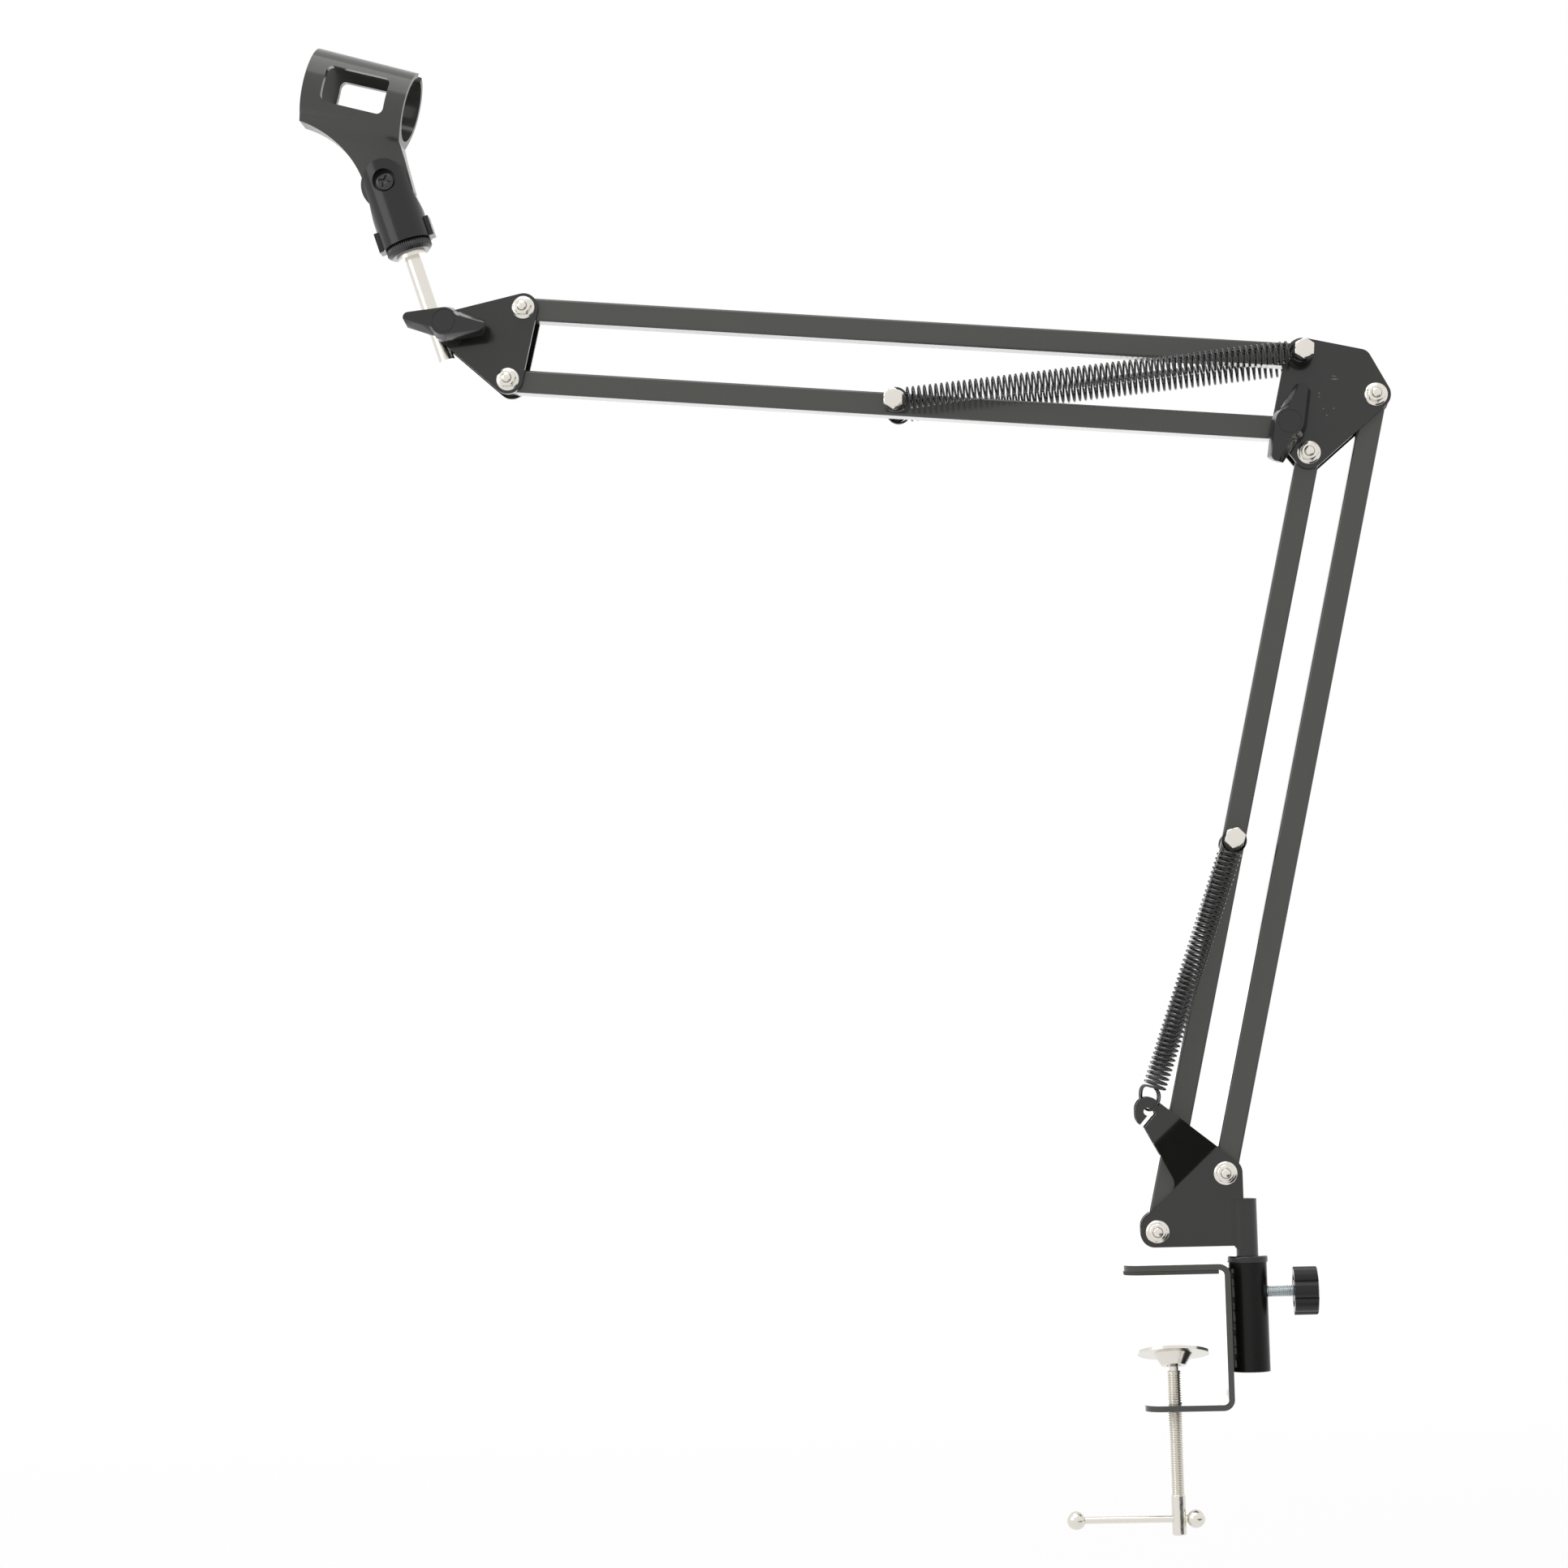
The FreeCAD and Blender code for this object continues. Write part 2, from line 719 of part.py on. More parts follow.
neck_x = socket_x - neck_start
neck_low = base_low[1] - base_low_margin
neck_top = neck_low + neck_height


def base_outline():
    """Side outline of the bracket from the low pivot round the neck, the high pivot and the hook."""
    left = base_low[0] - base_left_margin
    right = base_high[0] + base_right_margin
    hook_left = hook[0] - hook_radius
    out = tangent_normal(base_high + (base_high_margin,), hook + (hook_radius,))
    reach = out.dot(point(hook)) + hook_radius
    shoulder = (reach - out.x * right) / out.z
    summit = (reach - out.x * hook_left) / out.z
    return rounded([
        (left, neck_low, base_corner_radius), (neck_x, neck_low, 0), (neck_x, neck_top, 0),
        (right, neck_top, 0), (right, shoulder, base_corner_radius), (hook_left, summit, hook_radius),
        (hook_left, hook[1] - hook_left_drop, hook_radius),
        (hook[0] + hook_tail_x, hook[1] - hook_tail_drop, 0),
        (base_low[0] + notch_x, base_low[1] + notch_rise, notch_radius),
        (left, base_low[1] + base_left_rise, base_corner_radius),
    ])


hook_seat = (hook[0] + hook_pocket_x, hook[1] - hook_pocket_drop)


def hook_opening():
    """The slot that lets a spring loop into the hook, and the pocket it rests in."""
    slope = math.radians(hook_slot_slope)
    way = Vector(math.cos(slope), 0, math.sin(slope))
    up = Vector(-way.z, 0, way.x) * hook_slot
    corner = point((hook[0] + hook_slot_x, hook[1] - hook_slot_drop))
    mouth = corner - way * hook_slot_reach
    slot = Part.makePolygon([corner, mouth, mouth + up, corner + up, corner])
    pocket_end = polar(*hook_seat, hook_pocket_length, -hook_pocket_slope)
    pocket = belt([hook_seat + (hook_pocket_radius,), pocket_end + (hook_pocket_radius,)])
    deep = spring_plane + 2 * sheet
    return slab(slot, -deep, 0).fuse(slab(pocket, -deep, 0))


def fold(cheek_y, radius):
    """A block whose plan runs from both cheeks in a smooth S onto the post's circle and round it."""
    ahead = Vector(1, 0, 0)
    near, near_post = Vector(neck_x, -cheek_y, 0), Vector(socket_x, -radius, 0)
    far, far_post = Vector(neck_x, cheek_y, 0), Vector(socket_x, radius, 0)
    edges = biarc(near, ahead, near_post, ahead)
    edges += [Part.Arc(near_post, Vector(socket_x + radius, 0, 0), far_post).toShape()]
    edges += biarc(far_post, -ahead, far, -ahead) + [line(far, near)]
    block = Part.Face(Part.Wire(edges)).extrude(Vector(0, 0, neck_height + neck_fillet))
    block.translate(Vector(0, 0, neck_low - neck_fillet))
    return block


def neck():
    """The folded sheet between the cheeks and the post, its lower corner rounded down to the post."""
    corner = (socket_x - post_radius - neck_fillet, neck_low - neck_fillet)
    under = Part.makeBox(corner[0] - neck_x, 2 * plate_outer, neck_fillet,
                         Vector(neck_x, -plate_outer, neck_low - neck_fillet))
    sheet_fold = fold(plate_outer, post_radius).cut(fold(plate_inner, post_bore / 2))
    return sheet_fold.cut(under.fuse(along_y(corner, neck_fillet, -plate_outer, plate_outer)))


def base_bracket():
    """Two cheeks with spring hooks, folded from one sheet whose fold is rolled into the post."""
    deep = spring_plane + 2 * sheet
    cheek = joggled_sheet().common(slab(base_outline(), -deep, 0)).cut(hook_opening())
    for pivot in (base_low, base_high):
        cheek = cheek.cut(along_y(pivot, pivot_radius, -plate_outer - overshoot, -plate_inner + overshoot))
    post = upright(socket_x, post_radius, -post_below_desk, neck_top)
    bracket = cheek.fuse([mirrored(cheek), neck(), post])
    bore = upright(socket_x, post_bore / 2, -post_below_desk - overshoot, neck_top + overshoot)
    return bracket.cut(bore).removeSplitter()


# Elbow and head plates

def elbow_plate():
    shoulder = (elbow_high[0] + elbow_shoulder_x, elbow_high[1] + elbow_shoulder_z, elbow_shoulder_radius)
    plate = slab(belt([
        elbow_low + (elbow_margin,), elbow_high + (elbow_high_margin,), shoulder,
        elbow_spring + (elbow_spring_margin,), elbow_wing + (elbow_margin,),
    ]), -plate_outer, -plate_inner)
    for pivot, radius in ((elbow_low, pivot_radius), (elbow_high, pivot_radius),
                          (elbow_wing, pivot_radius), (elbow_spring, spring_bolt_radius)):
        plate = plate.cut(along_y(pivot, radius, -plate_outer - overshoot, -plate_inner + overshoot))
    return plate


def head_plate():
    plate = slab(belt([
        head_low + (head_margin,), head_high + (head_margin,), head_wing + (head_nose_margin,),
    ]), -plate_outer, -plate_inner)
    for pivot in (head_low, head_high, head_wing):
        plate = plate.cut(along_y(pivot, pivot_radius, -plate_outer - overshoot, -plate_inner + overshoot))
    return plate


wing_face = plate_outer + wing_height
wing_bolt_tip = wing_face - wing_bolt_cover


def wing_bolt(xz):
    """The bolt that a wing knob tightens, its head behind the back plate."""
    bolt = hexagon(xz, bolt_head_flats, plate_outer, plate_outer + bolt_head)
    return bolt.fuse(along_y(xz, pivot_radius, -wing_bolt_tip, plate_outer))


def wing_outline(y, hub_radius, hub_side, root, tip, corner):
    """Outline at y of two offset wings on a round hub. root, tip and corner are the right wing's (x, z)."""
    def hub(degrees):
        a = math.radians(degrees)
        return Vector(hub_radius * math.cos(a), y, hub_radius * math.sin(a))

    def bulged(start, end, sag):
        """An arc that bulges to the left of its chord by sag."""
        chord = end - start
        chord.normalize()
        middle = (start + end) * 0.5 + Vector(-chord.z, 0, chord.x) * sag
        return Part.Arc(start, middle, end).toShape()

    hub_out, hub_top = hub(hub_side), hub(wing_hub_crown)
    hub_mid = hub((hub_side + wing_hub_crown) / 2)
    tip_left, corner_left = Vector(-tip[0], y, -tip[1]), Vector(-corner[0], y, corner[1])
    half = [
        line(point(tip, y), point(root, y)), bulged(point(root, y), hub_out, wing_root_sag),
        Part.Arc(hub_out, hub_mid, hub_top).toShape(), line(hub_top, corner_left),
        bulged(corner_left, tip_left, -wing_tip_bulge),
    ]
    other = []
    for edge in half:
        twin = edge.copy()
        twin.rotate(Vector(0, 0, 0), Vector(0, 1, 0), 180)
        other.append(twin)
    return Part.Wire(half + other)


def wing_knob(xz, turn):
    """A propeller-shaped knob: two offset, drafted wings raised on a boss, with a capped face."""
    low = wing_depth - wing_face
    face = wing_outline(-wing_face, wing_hub_radius, wing_hub_side, (wing_root_x, wing_root_z),
                        (wing_tip_x, wing_tip_z), (wing_corner_x, wing_corner_z))
    foot = wing_outline(low, wing_foot_hub_radius, wing_foot_hub_side, (wing_foot_root_x, wing_foot_root_z),
                        (wing_foot_tip_x, wing_foot_tip_z), (wing_foot_corner_x, wing_foot_corner_z))
    wings = turned(Part.makeLoft([face, foot], True, True), turn, (0, 0))
    wings.translate(point(xz))
    knob = wings.fuse(along_y(xz, wing_boss_radius, low, -plate_outer))
    groove_top, groove_floor = -wing_face - overshoot, wing_cap_groove - wing_face
    ring = along_y(xz, wing_cap_radius, groove_top, groove_floor)
    knob = knob.cut(ring.cut(along_y(xz, wing_cap_radius - wing_cap_groove, groove_top, groove_floor)))
    return knob.cut(along_y(xz, bar_hole, -wing_bolt_tip - running_gap, -plate_outer + overshoot))


# Springs

def spring_nodes(first, last, y, turns, last_turn):
    """Points and tangents of a spring's wire: a loop, a helix with a node each half turn, and a loop.

    first and last are the (x, z) centres of the two loops. The last loop's plane is turned about the
    spring's axis by last_turn degrees.
    """
    axis = point(last) - point(first)
    span = axis.Length
    axis.normalize()
    inward = Vector(0, 1 if y < 0 else -1, 0)
    across = inward.cross(axis)
    start = point(first, y) + axis * spring_loop_radius
    coil = span - 2 * spring_loop_radius
    turn = math.radians(last_turn)
    winding = 2 * math.pi * turns + turn
    nodes = []

    def loop(centre, away, side, lift, angles):
        """Loop nodes: away points from the coil, and lift is the wire's rise out of the loop's plane."""
        settle = loop_settle
        for angle in angles:
            a = math.radians(angle)
            u = min(angle / settle, 1.0)
            rise = coil_radius * (1 + math.cos(math.pi * u)) / 2
            slope = -coil_radius * math.pi / math.radians(settle) * math.sin(math.pi * u) / 2
            place = centre - (away * math.cos(a) + side * math.sin(a)) * spring_loop_radius
            way = (away * math.sin(a) - side * math.cos(a)) * spring_loop_radius
            yield place + lift * rise, way + lift * slope

    steps = [loop_travel * (i + 1) / loop_nodes for i in range(loop_nodes)]
    for place, way in reversed(list(loop(point(first, y), axis * -1, across * -1, inward, steps))):
        way.normalize()
        nodes.append((place, way * -1))
    for i in range(2 * turns + 1):
        share = i / (2 * turns)
        a = math.pi / 2 + winding * share
        place = start + axis * (coil * share) + (across * math.cos(a) + inward * math.sin(a)) * coil_radius
        way = (inward * math.cos(a) - across * math.sin(a)) * coil_radius + axis * (coil / winding)
        way.normalize()
        nodes.append((place, way))
    end_side = across * math.cos(turn) + inward * math.sin(turn)
    end_lift = inward * math.cos(turn) - across * math.sin(turn)
    for place, way in loop(point(last, y), axis, end_side, end_lift, steps):
        way.normalize()
        nodes.append((place, way))
    return nodes


def least_gap(name, wire):
    """Print the least gap between parts of the wire that are more than half a turn apart."""
    points = wire.discretize(Distance=gap_step)
    half_turn = math.ceil(math.pi * spring_loop_radius / gap_step)
    gap = min(points[i].distanceToPoint(q) for i in range(len(points))
              for q in points[i + half_turn:i + gap_turns * 2 * half_turn]) - wire_diameter
    print(f"{name}: least gap between turns {gap:.2f} mm")


def wound_wire(name, nodes):
    """One unbroken faceted tube along the nodes."""
    edges = []
    for (p0, t0), (p1, t1) in zip(nodes, nodes[1:]):
        edges += biarc(p0, t0, p1, t1)
    path = Part.Wire(edges)
    least_gap(name, path)
    origin, way = nodes[0]
    side = way.cross(Vector(0, 1, 0))
    side.normalize()
    up = side.cross(way)
    ring = []
    for i in range(wire_sides + 1):
        a = 2 * math.pi * i / wire_sides
        ring.append(origin + side * (wire_radius * math.cos(a)) + up * (wire_radius * math.sin(a)))
    sweep = Part.BRepOffsetAPI.MakePipeShell(path)
    sweep.add(Part.makePolygon(ring))
    sweep.build()
    sweep.makeSolid()
    return sweep.shape()


def toward(start, end, distance):
    """The point at a distance from start on the way to end."""
    span = math.dist(start, end)
    return tuple(a + (b - a) * distance / span for a, b in zip(start, end))


loop_offset = spring_loop_radius - wire_radius - spool_radius - loop_gap
hook_loop_offset = spring_loop_radius + hook_pocket_radius - wire_radius - hook_gap


def springs():
    """Front and rear springs of both arms, keyed by node name."""
    upper = (toward(upper_spring, elbow_spring, loop_offset), toward(elbow_spring, upper_spring, loop_offset))
    lower = (toward(lower_spring, hook_seat, loop_offset), toward(hook_seat, lower_spring, hook_loop_offset))
    made = {}
    for side, y in (("front", -spring_plane), ("rear", spring_plane)):
        name = f"upper_spring_{side}"
        made[name] = wound_wire(name, spring_nodes(*upper, y, upper_spring_turns, 0))
        name = f"lower_spring_{side}"
        turn = hook_loop_turn if side == "front" else 180 - hook_loop_turn
        made[name] = wound_wire(name, spring_nodes(*lower, y, lower_spring_turns, turn))
    return made


# Microphone rod and clip, drawn upright on the rod's axis and then leaned

rod_foot = polar(*head_wing, rod_offset, 180 + rod_lean)
slot_radius = tongue_radius + tongue_shift + 2 * tongue_gap
insert_top = clip_pivot_height - slot_radius - fork_floor
insert_bottom = insert_top - rod_thread
rod_collar_height = insert_bottom - rod_collar


def leaned(shape):
    """A shape drawn with the rod upright at the origin, put in its place on the arm."""
    copy = shape.copy()
    copy.rotate(Vector(0, 0, 0), Vector(0, 1, 0), -rod_lean)
    copy.translate(point(rod_foot))
    return copy


def rod_saddle():
    """A block on the wing bolt that rises to the rod beside it."""
    half = plate_inner
    discs = [(0, saddle_rise, rod_diameter / 2 + saddle_wall), (rod_offset, 0, saddle_height / 2)]
    block = slab(belt(discs), -half, half)
    reach = saddle_rise + saddle_height
    block = block.cut(upright(0, rod_diameter / 2, -reach, reach))
    return leaned(block.cut(along_y((rod_offset, 0), bar_hole, -half, half)))


def mic_rod():
    """A plain rod with a collar and a threaded end."""
    rod = upright(0, rod_diameter / 2, -rod_below_pivot, rod_collar_height)
    rod = rod.fuse(upright(0, rod_collar_diameter / 2, rod_collar_height, insert_bottom))
    rod = rod.fuse(upright(0, rod_thread_diameter / 2, insert_bottom, insert_top))
    return leaned(rod.removeSplitter())


def threaded_insert():
    """The insert that screws on the rod: a ring below the barrel and a sleeve inside it."""
    ring = upright(0, insert_diameter / 2, insert_bottom, insert_bottom + insert_ring)
    rim = [e for e in ring.Edges if abs(e.CenterOfMass.z - insert_bottom) < 1e-6]
    ring = ring.makeChamfer(insert_chamfer, rim)
    insert = ring.fuse(upright(0, insert_body_diameter / 2, insert_bottom, insert_top))
    tapping = rod_thread_diameter / 2 + running_gap
    return leaned(insert.cut(upright(0, tapping, insert_bottom - overshoot, insert_top + overshoot)))


def clip_knuckle():
    """A ribbed barrel on the insert that opens into a fork with rounded ears."""
    bottom = insert_bottom + insert_ring
    radius = barrel_diameter / 2
    top = clip_pivot_height + ear_radius
    barrel = upright(0, radius, bottom, top)
    side = 2 * radius
    pivot = (0, clip_pivot_height)
    shoulder = clip_pivot_height - ear_shoulder
    foot = clip_pivot_height - ear_foot
    body = rounded([(-side, bottom, 0), (side, bottom, 0), (side, shoulder, 0), (radius, shoulder, 0),
                    (ear_radius, foot, 0), (-ear_radius, foot, 0), (-radius, shoulder, 0),
                    (-side, shoulder, 0)])
    ears = slab(belt([(0, foot, ear_radius), pivot + (ear_radius,)]), -radius, radius)
    knuckle = barrel.common(slab(body, -radius, radius).fuse(ears))
    for way in (1, -1):
        rib = Part.makeBox(radius + barrel_rib, barrel_rib_width, barrel_rib_length,
                           Vector(0 if way > 0 else -radius - barrel_rib, -barrel_rib_width / 2, bottom))
        knuckle = knuckle.fuse(rib)
    half = fork_slot / 2
    slot = along_y(pivot, slot_radius, -half, half)
    slot = slot.fuse(Part.makeBox(2 * side, fork_slot, side, Vector(-side, -half, clip_pivot_height)))
    knuckle = knuckle.cut(slot)
    knuckle = knuckle.cut(upright(0, insert_body_diameter / 2, bottom - overshoot, insert_top))
    past = radius + overshoot
    knuckle = knuckle.cut(along_y(pivot, clip_screw_diameter / 2, -past, past))
    head = along_y(pivot, clip_counterbore / 2, -past, clip_screw_seat)
    nut = hexagon(pivot, clip_nut_flats, -clip_screw_seat, past)
    return leaned(knuckle.cut(head).cut(nut).removeSplitter())


clip_screw_face = -(barrel_diameter / 2 - clip_screw_recess)
clip_screw_seat = clip_screw_face + clip_screw_head


def clip_screw():
    """A cross-head screw through the fork and the clip's tongue."""
    pivot = (0, clip_pivot_height)
    screw = along_y(pivot, clip_screw_head_diameter / 2, clip_screw_face, clip_screw_seat)
    screw = screw.fuse(along_y(pivot, clip_screw_diameter / 2, clip_screw_seat, -clip_screw_seat + clip_nut))
    for across, tall in ((cross_arm, cross_blade / 2), (cross_blade / 2, cross_arm)):
        corner = Vector(-across, clip_screw_face, clip_pivot_height - tall)
        screw = screw.cut(Part.makeBox(2 * across, cross_depth, 2 * tall, corner))
    return leaned(screw)


def clip_nut_piece():
    pivot = (0, clip_pivot_height)
    face = -clip_screw_seat
    nut = hexagon(pivot, clip_nut_flats, face, face + clip_nut)
    tapping = along_y(pivot, clip_screw_diameter / 2, face - overshoot, face + clip_nut + overshoot)
    return leaned(nut.cut(tapping))


clip_pivot = polar(*rod_foot, clip_pivot_height, 90 + rod_lean)


def neck_side():
    """The neck seen from the front: a round tongue, a straight edge and a hollow curve up to the sleeve."""
    right = clip_overhang
    left = right - clip_length
    tongue_left, tongue_right = (Vector(tongue_shift + way * tongue_radius, 0, 0) for way in (-1, 1))
    sleeve_left = Vector(left, 0, clip_rise - clip_large_diameter / 2)
    sleeve_right = Vector(right, 0, clip_rise - clip_small_diameter / 2)
    top_left, top_right = Vector(left, 0, clip_rise), Vector(right, 0, clip_rise)
    chord = sleeve_left - tongue_left
    chord.normalize()
    hollow = (sleeve_left + tongue_left) * 0.5 + Vector(chord.z, 0, -chord.x) * neck_sag
    return Part.Wire([
        Part.Arc(tongue_left, Vector(tongue_shift, 0, -tongue_radius), tongue_right).toShape(),
        line(tongue_right, sleeve_right), line(sleeve_right, top_right), line(top_right, top_left),
        line(top_left, sleeve_left), Part.Arc(sleeve_left, hollow, tongue_left).toShape(),
    ])


def neck_end():
    """The neck seen from its end: as thick as the tongue below, flaring into the sleeve's round."""
    half = fork_slot / 2 - tongue_gap
    round_radius = clip_small_diameter / 2
    a = math.radians(neck_meets_sleeve)
    edges = []
    for side in (-1, 1):
        foot, bend = Vector(0, side * half, -2 * tongue_radius), Vector(0, side * half, neck_flare_start)
        meet = Vector(0, side * round_radius * math.cos(a), clip_rise - round_radius * math.sin(a))
        tangent = Vector(0, side * math.sin(a), math.cos(a))
        top = Vector(0, meet.y, clip_rise)
        edges += [line(foot, bend)] + biarc(bend, Vector(0, 0, 1), meet, tangent) + [line(meet, top)]
    close_top = line(Vector(0, -meet.y, clip_rise), top)
    close_foot = line(Vector(0, -half, -2 * tongue_radius), foot)
    return Part.Wire(Part.__sortEdges__(edges + [close_top, close_foot]))


def clip_sleeve():
    """A split sleeve with side windows on a neck that narrows to the fork's tongue.

    Drawn with the pivot at the origin and the sleeve along X above it, then leaned.
    """
    large, small = clip_large_diameter / 2, clip_small_diameter / 2
    right = clip_overhang
    left = right - clip_length
    axis = Vector(1, 0, 0)
    far_left = Vector(left - clip_length / 2, 0, 0)
    neck_sides = slab(neck_side(), -large, large)
    neck_ends = Part.Face(neck_end()).extrude(axis * (2 * clip_length))
    neck_ends.translate(far_left)
    clip = Part.makeCone(large, small, clip_length, Vector(left, 0, clip_rise), axis)
    clip = clip.fuse(neck_sides.common(neck_ends))
    bore_start = far_left + Vector(0, 0, clip_rise)
    clip = clip.cut(Part.makeCylinder(clip_bore / 2, 2 * clip_length, bore_start, axis))
    middle = (left + right) / 2
    window = rounded([(middle + sx * window_length / 2, clip_rise + sz * window_height / 2, window_corner)
                      for sx, sz in ((-1, -1), (1, -1), (1, 1), (-1, 1))])
    clip = clip.cut(slab(window, -2 * large, 2 * large))
    slit = Part.makeBox(2 * clip_length, clip_slit, 2 * large, bore_start - Vector(0, clip_slit / 2, 0))
    clip = clip.cut(slit)
    clip = clip.cut(along_y((0, 0), clip_screw_diameter / 2 + running_gap, -large, large))
    clip.rotate(Vector(0, 0, 0), Vector(0, 1, 0), clip_lean)
    clip.translate(point(clip_pivot))
    return clip


def build():
    os.makedirs("parts", exist_ok=True)
    pivot_hole = (bar_hole,)
    spring_hole = (spring_bolt_radius,)
    export("clamp_bracket", clamp_bracket())
    export("jaw_pad", jaw_pad())
    export("socket_tube", socket_tube())
    export("socket_bush", socket_bush())
    export("thumb_screw", thumb_screw())
    export("thumb_knob", thumb_knob())
    export("screw_ball_end", screw_ball_end())
    export("swivel_pad", swivel_pad())
    export("clamp_screw", clamp_screw())
    export("tommy_bar", tommy_bar())
    export("tommy_balls", tommy_balls())
    export("base_bracket", base_bracket())
    export("lower_inner_bar", bar(base_low, elbow_low, [base_low + pivot_hole, elbow_low + pivot_hole,
                                                        lower_spring + spring_hole]))
    export("lower_outer_bar", bar(base_high, elbow_high, [base_high + pivot_hole, elbow_high + pivot_hole]))
    export("upper_bottom_bar", bar(elbow_wing, head_low, [elbow_wing + pivot_hole, head_low + pivot_hole,
                                                          upper_spring + spring_hole]))
    export("upper_top_bar", bar(elbow_spring, head_high, [elbow_spring + (spring_bolt_radius + running_gap,),
                                                          head_high + pivot_hole]))
    for joint, plate in (("elbow", elbow_plate()), ("head", head_plate())):
        export(f"{joint}_front_plate", plate)
        export(f"{joint}_rear_plate", mirrored(plate))
    for joint, pivots in (("base", (base_low, base_high)), ("elbow", (elbow_low, elbow_high)),
                          ("head", (head_low, head_high))):
        export(f"{joint}_bolts", [pivot_bolt(p) for p in pivots])
        export(f"{joint}_nuts", [flange_nut(p) for p in pivots])
    export("base_washers", washers([p + (pivot_radius,) for p in (base_low, base_high)]))
    export("elbow_washers", washers([p + (pivot_radius,) for p in (elbow_low, elbow_high, elbow_wing)]
                                    + [elbow_spring + spring_hole]))
    export("head_washers", washers([p + (pivot_radius,) for p in (head_low, head_high)]))
    for name, place, seat in (("lower", lower_spring, bar_width / 2), ("upper", upper_spring, bar_width / 2),
                              ("elbow", elbow_spring, plate_outer)):
        export(f"{name}_spring_bolt", spring_bolt(place))
        export(f"{name}_spring_nut", spring_nut(place))
        export(f"{name}_spring_spools", spools(place, seat))
    for name, place, turn in (("elbow", elbow_wing, elbow_wing_turn), ("head", head_wing, head_wing_turn)):
        export(f"{name}_wing_bolt", wing_bolt(place))
        export(f"{name}_wing_knob", wing_knob(place, turn))
    for name, solid in springs().items():
        export(name, solid)
    export("rod_saddle", rod_saddle())
    export("mic_rod", mic_rod())
    export("threaded_insert", threaded_insert())
    export("clip_knuckle", clip_knuckle())
    export("clip_screw", clip_screw())
    export("clip_nut", clip_nut_piece())
    export("clip_sleeve", clip_sleeve())


build()
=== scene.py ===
import json
import math

import bmesh
import bpy
import numpy as np
from mathutils import Matrix, Vector


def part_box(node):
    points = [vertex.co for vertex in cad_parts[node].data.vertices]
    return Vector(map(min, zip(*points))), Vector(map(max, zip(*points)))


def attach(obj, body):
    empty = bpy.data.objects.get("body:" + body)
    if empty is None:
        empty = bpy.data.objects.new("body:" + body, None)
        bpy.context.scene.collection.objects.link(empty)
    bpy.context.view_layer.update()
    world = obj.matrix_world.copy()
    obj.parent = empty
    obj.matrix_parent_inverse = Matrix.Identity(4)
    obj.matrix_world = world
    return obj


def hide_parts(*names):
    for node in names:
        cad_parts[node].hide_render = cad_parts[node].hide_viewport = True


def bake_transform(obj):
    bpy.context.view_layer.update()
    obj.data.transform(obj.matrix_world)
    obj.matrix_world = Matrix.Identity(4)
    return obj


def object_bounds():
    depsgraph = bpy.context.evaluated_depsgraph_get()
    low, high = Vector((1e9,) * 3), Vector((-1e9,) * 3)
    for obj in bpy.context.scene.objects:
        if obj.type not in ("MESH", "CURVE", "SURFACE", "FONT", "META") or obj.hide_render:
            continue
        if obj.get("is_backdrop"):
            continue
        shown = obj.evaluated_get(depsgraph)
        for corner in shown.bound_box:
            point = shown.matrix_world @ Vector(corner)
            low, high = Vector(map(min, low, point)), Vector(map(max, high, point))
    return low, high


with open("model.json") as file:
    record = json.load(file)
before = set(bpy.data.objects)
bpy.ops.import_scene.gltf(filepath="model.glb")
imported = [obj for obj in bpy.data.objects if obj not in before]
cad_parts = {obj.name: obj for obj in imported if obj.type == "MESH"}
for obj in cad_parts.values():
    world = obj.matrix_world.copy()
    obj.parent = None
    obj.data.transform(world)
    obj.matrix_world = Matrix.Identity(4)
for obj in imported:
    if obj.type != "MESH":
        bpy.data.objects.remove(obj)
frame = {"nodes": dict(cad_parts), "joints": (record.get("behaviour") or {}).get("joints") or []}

# Lengths are in millimetres and turn to metres as meshes are made.
# X runs along the arm, Y away from the front, Z up.
MM = 0.001
TURN = 2 * math.pi
cad_low, cad_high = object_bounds()
joints = {joint["name"]: joint for joint in frame["joints"]}


def pivot(name):
    """Where a joint's axis stands."""
    return np.array(joints[name]["pos_m"]) / MM


def box(node_name):
    """Lowest and highest corner of a solid."""
    low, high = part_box(node_name)
    return np.array(low) / MM, np.array(high) / MM


def centre(node_name):
    """Middle of a solid's box, brought to the arm's plane."""
    low, high = box(node_name)
    return (low + high) / 2 * np.array((1, 0, 1))


# Places that the pieces share, from the frame
base_low, base_high = pivot("lower_arm_tilt"), pivot("lower_outer_tilt")
elbow_low, elbow_wing, elbow_spring = pivot("elbow_level"), pivot("upper_arm_tilt"), pivot("upper_top_tilt")
head_low = pivot("head_level")
elbow_high = elbow_low + base_high - base_low
head_high = head_low + elbow_spring - elbow_wing
plate_face = -box("elbow_front_plate")[0][1]


# Materials
def linear(code):
    """sRGB hex code to linear RGBA."""
    parts = [int(code[i:i + 2], 16) / 255 for i in (1, 3, 5)]
    return [c / 12.92 if c <= 0.04045 else ((c + 0.055) / 1.055) ** 2.4 for c in parts] + [1.0]


def node(tree, kind, inputs=None, **settings):
    """Add a node; inputs maps socket names to constants or to other sockets."""
    made = tree.nodes.new(kind)
    for name, value in settings.items():
        setattr(made, name, value)
    for name, value in (inputs or {}).items():
        if isinstance(value, bpy.types.NodeSocket):
            tree.links.new(value, made.inputs[name])
        else:
            made.inputs[name].default_value = value
    return made


skin_roughness, skin_ior = 0.16, 1.5


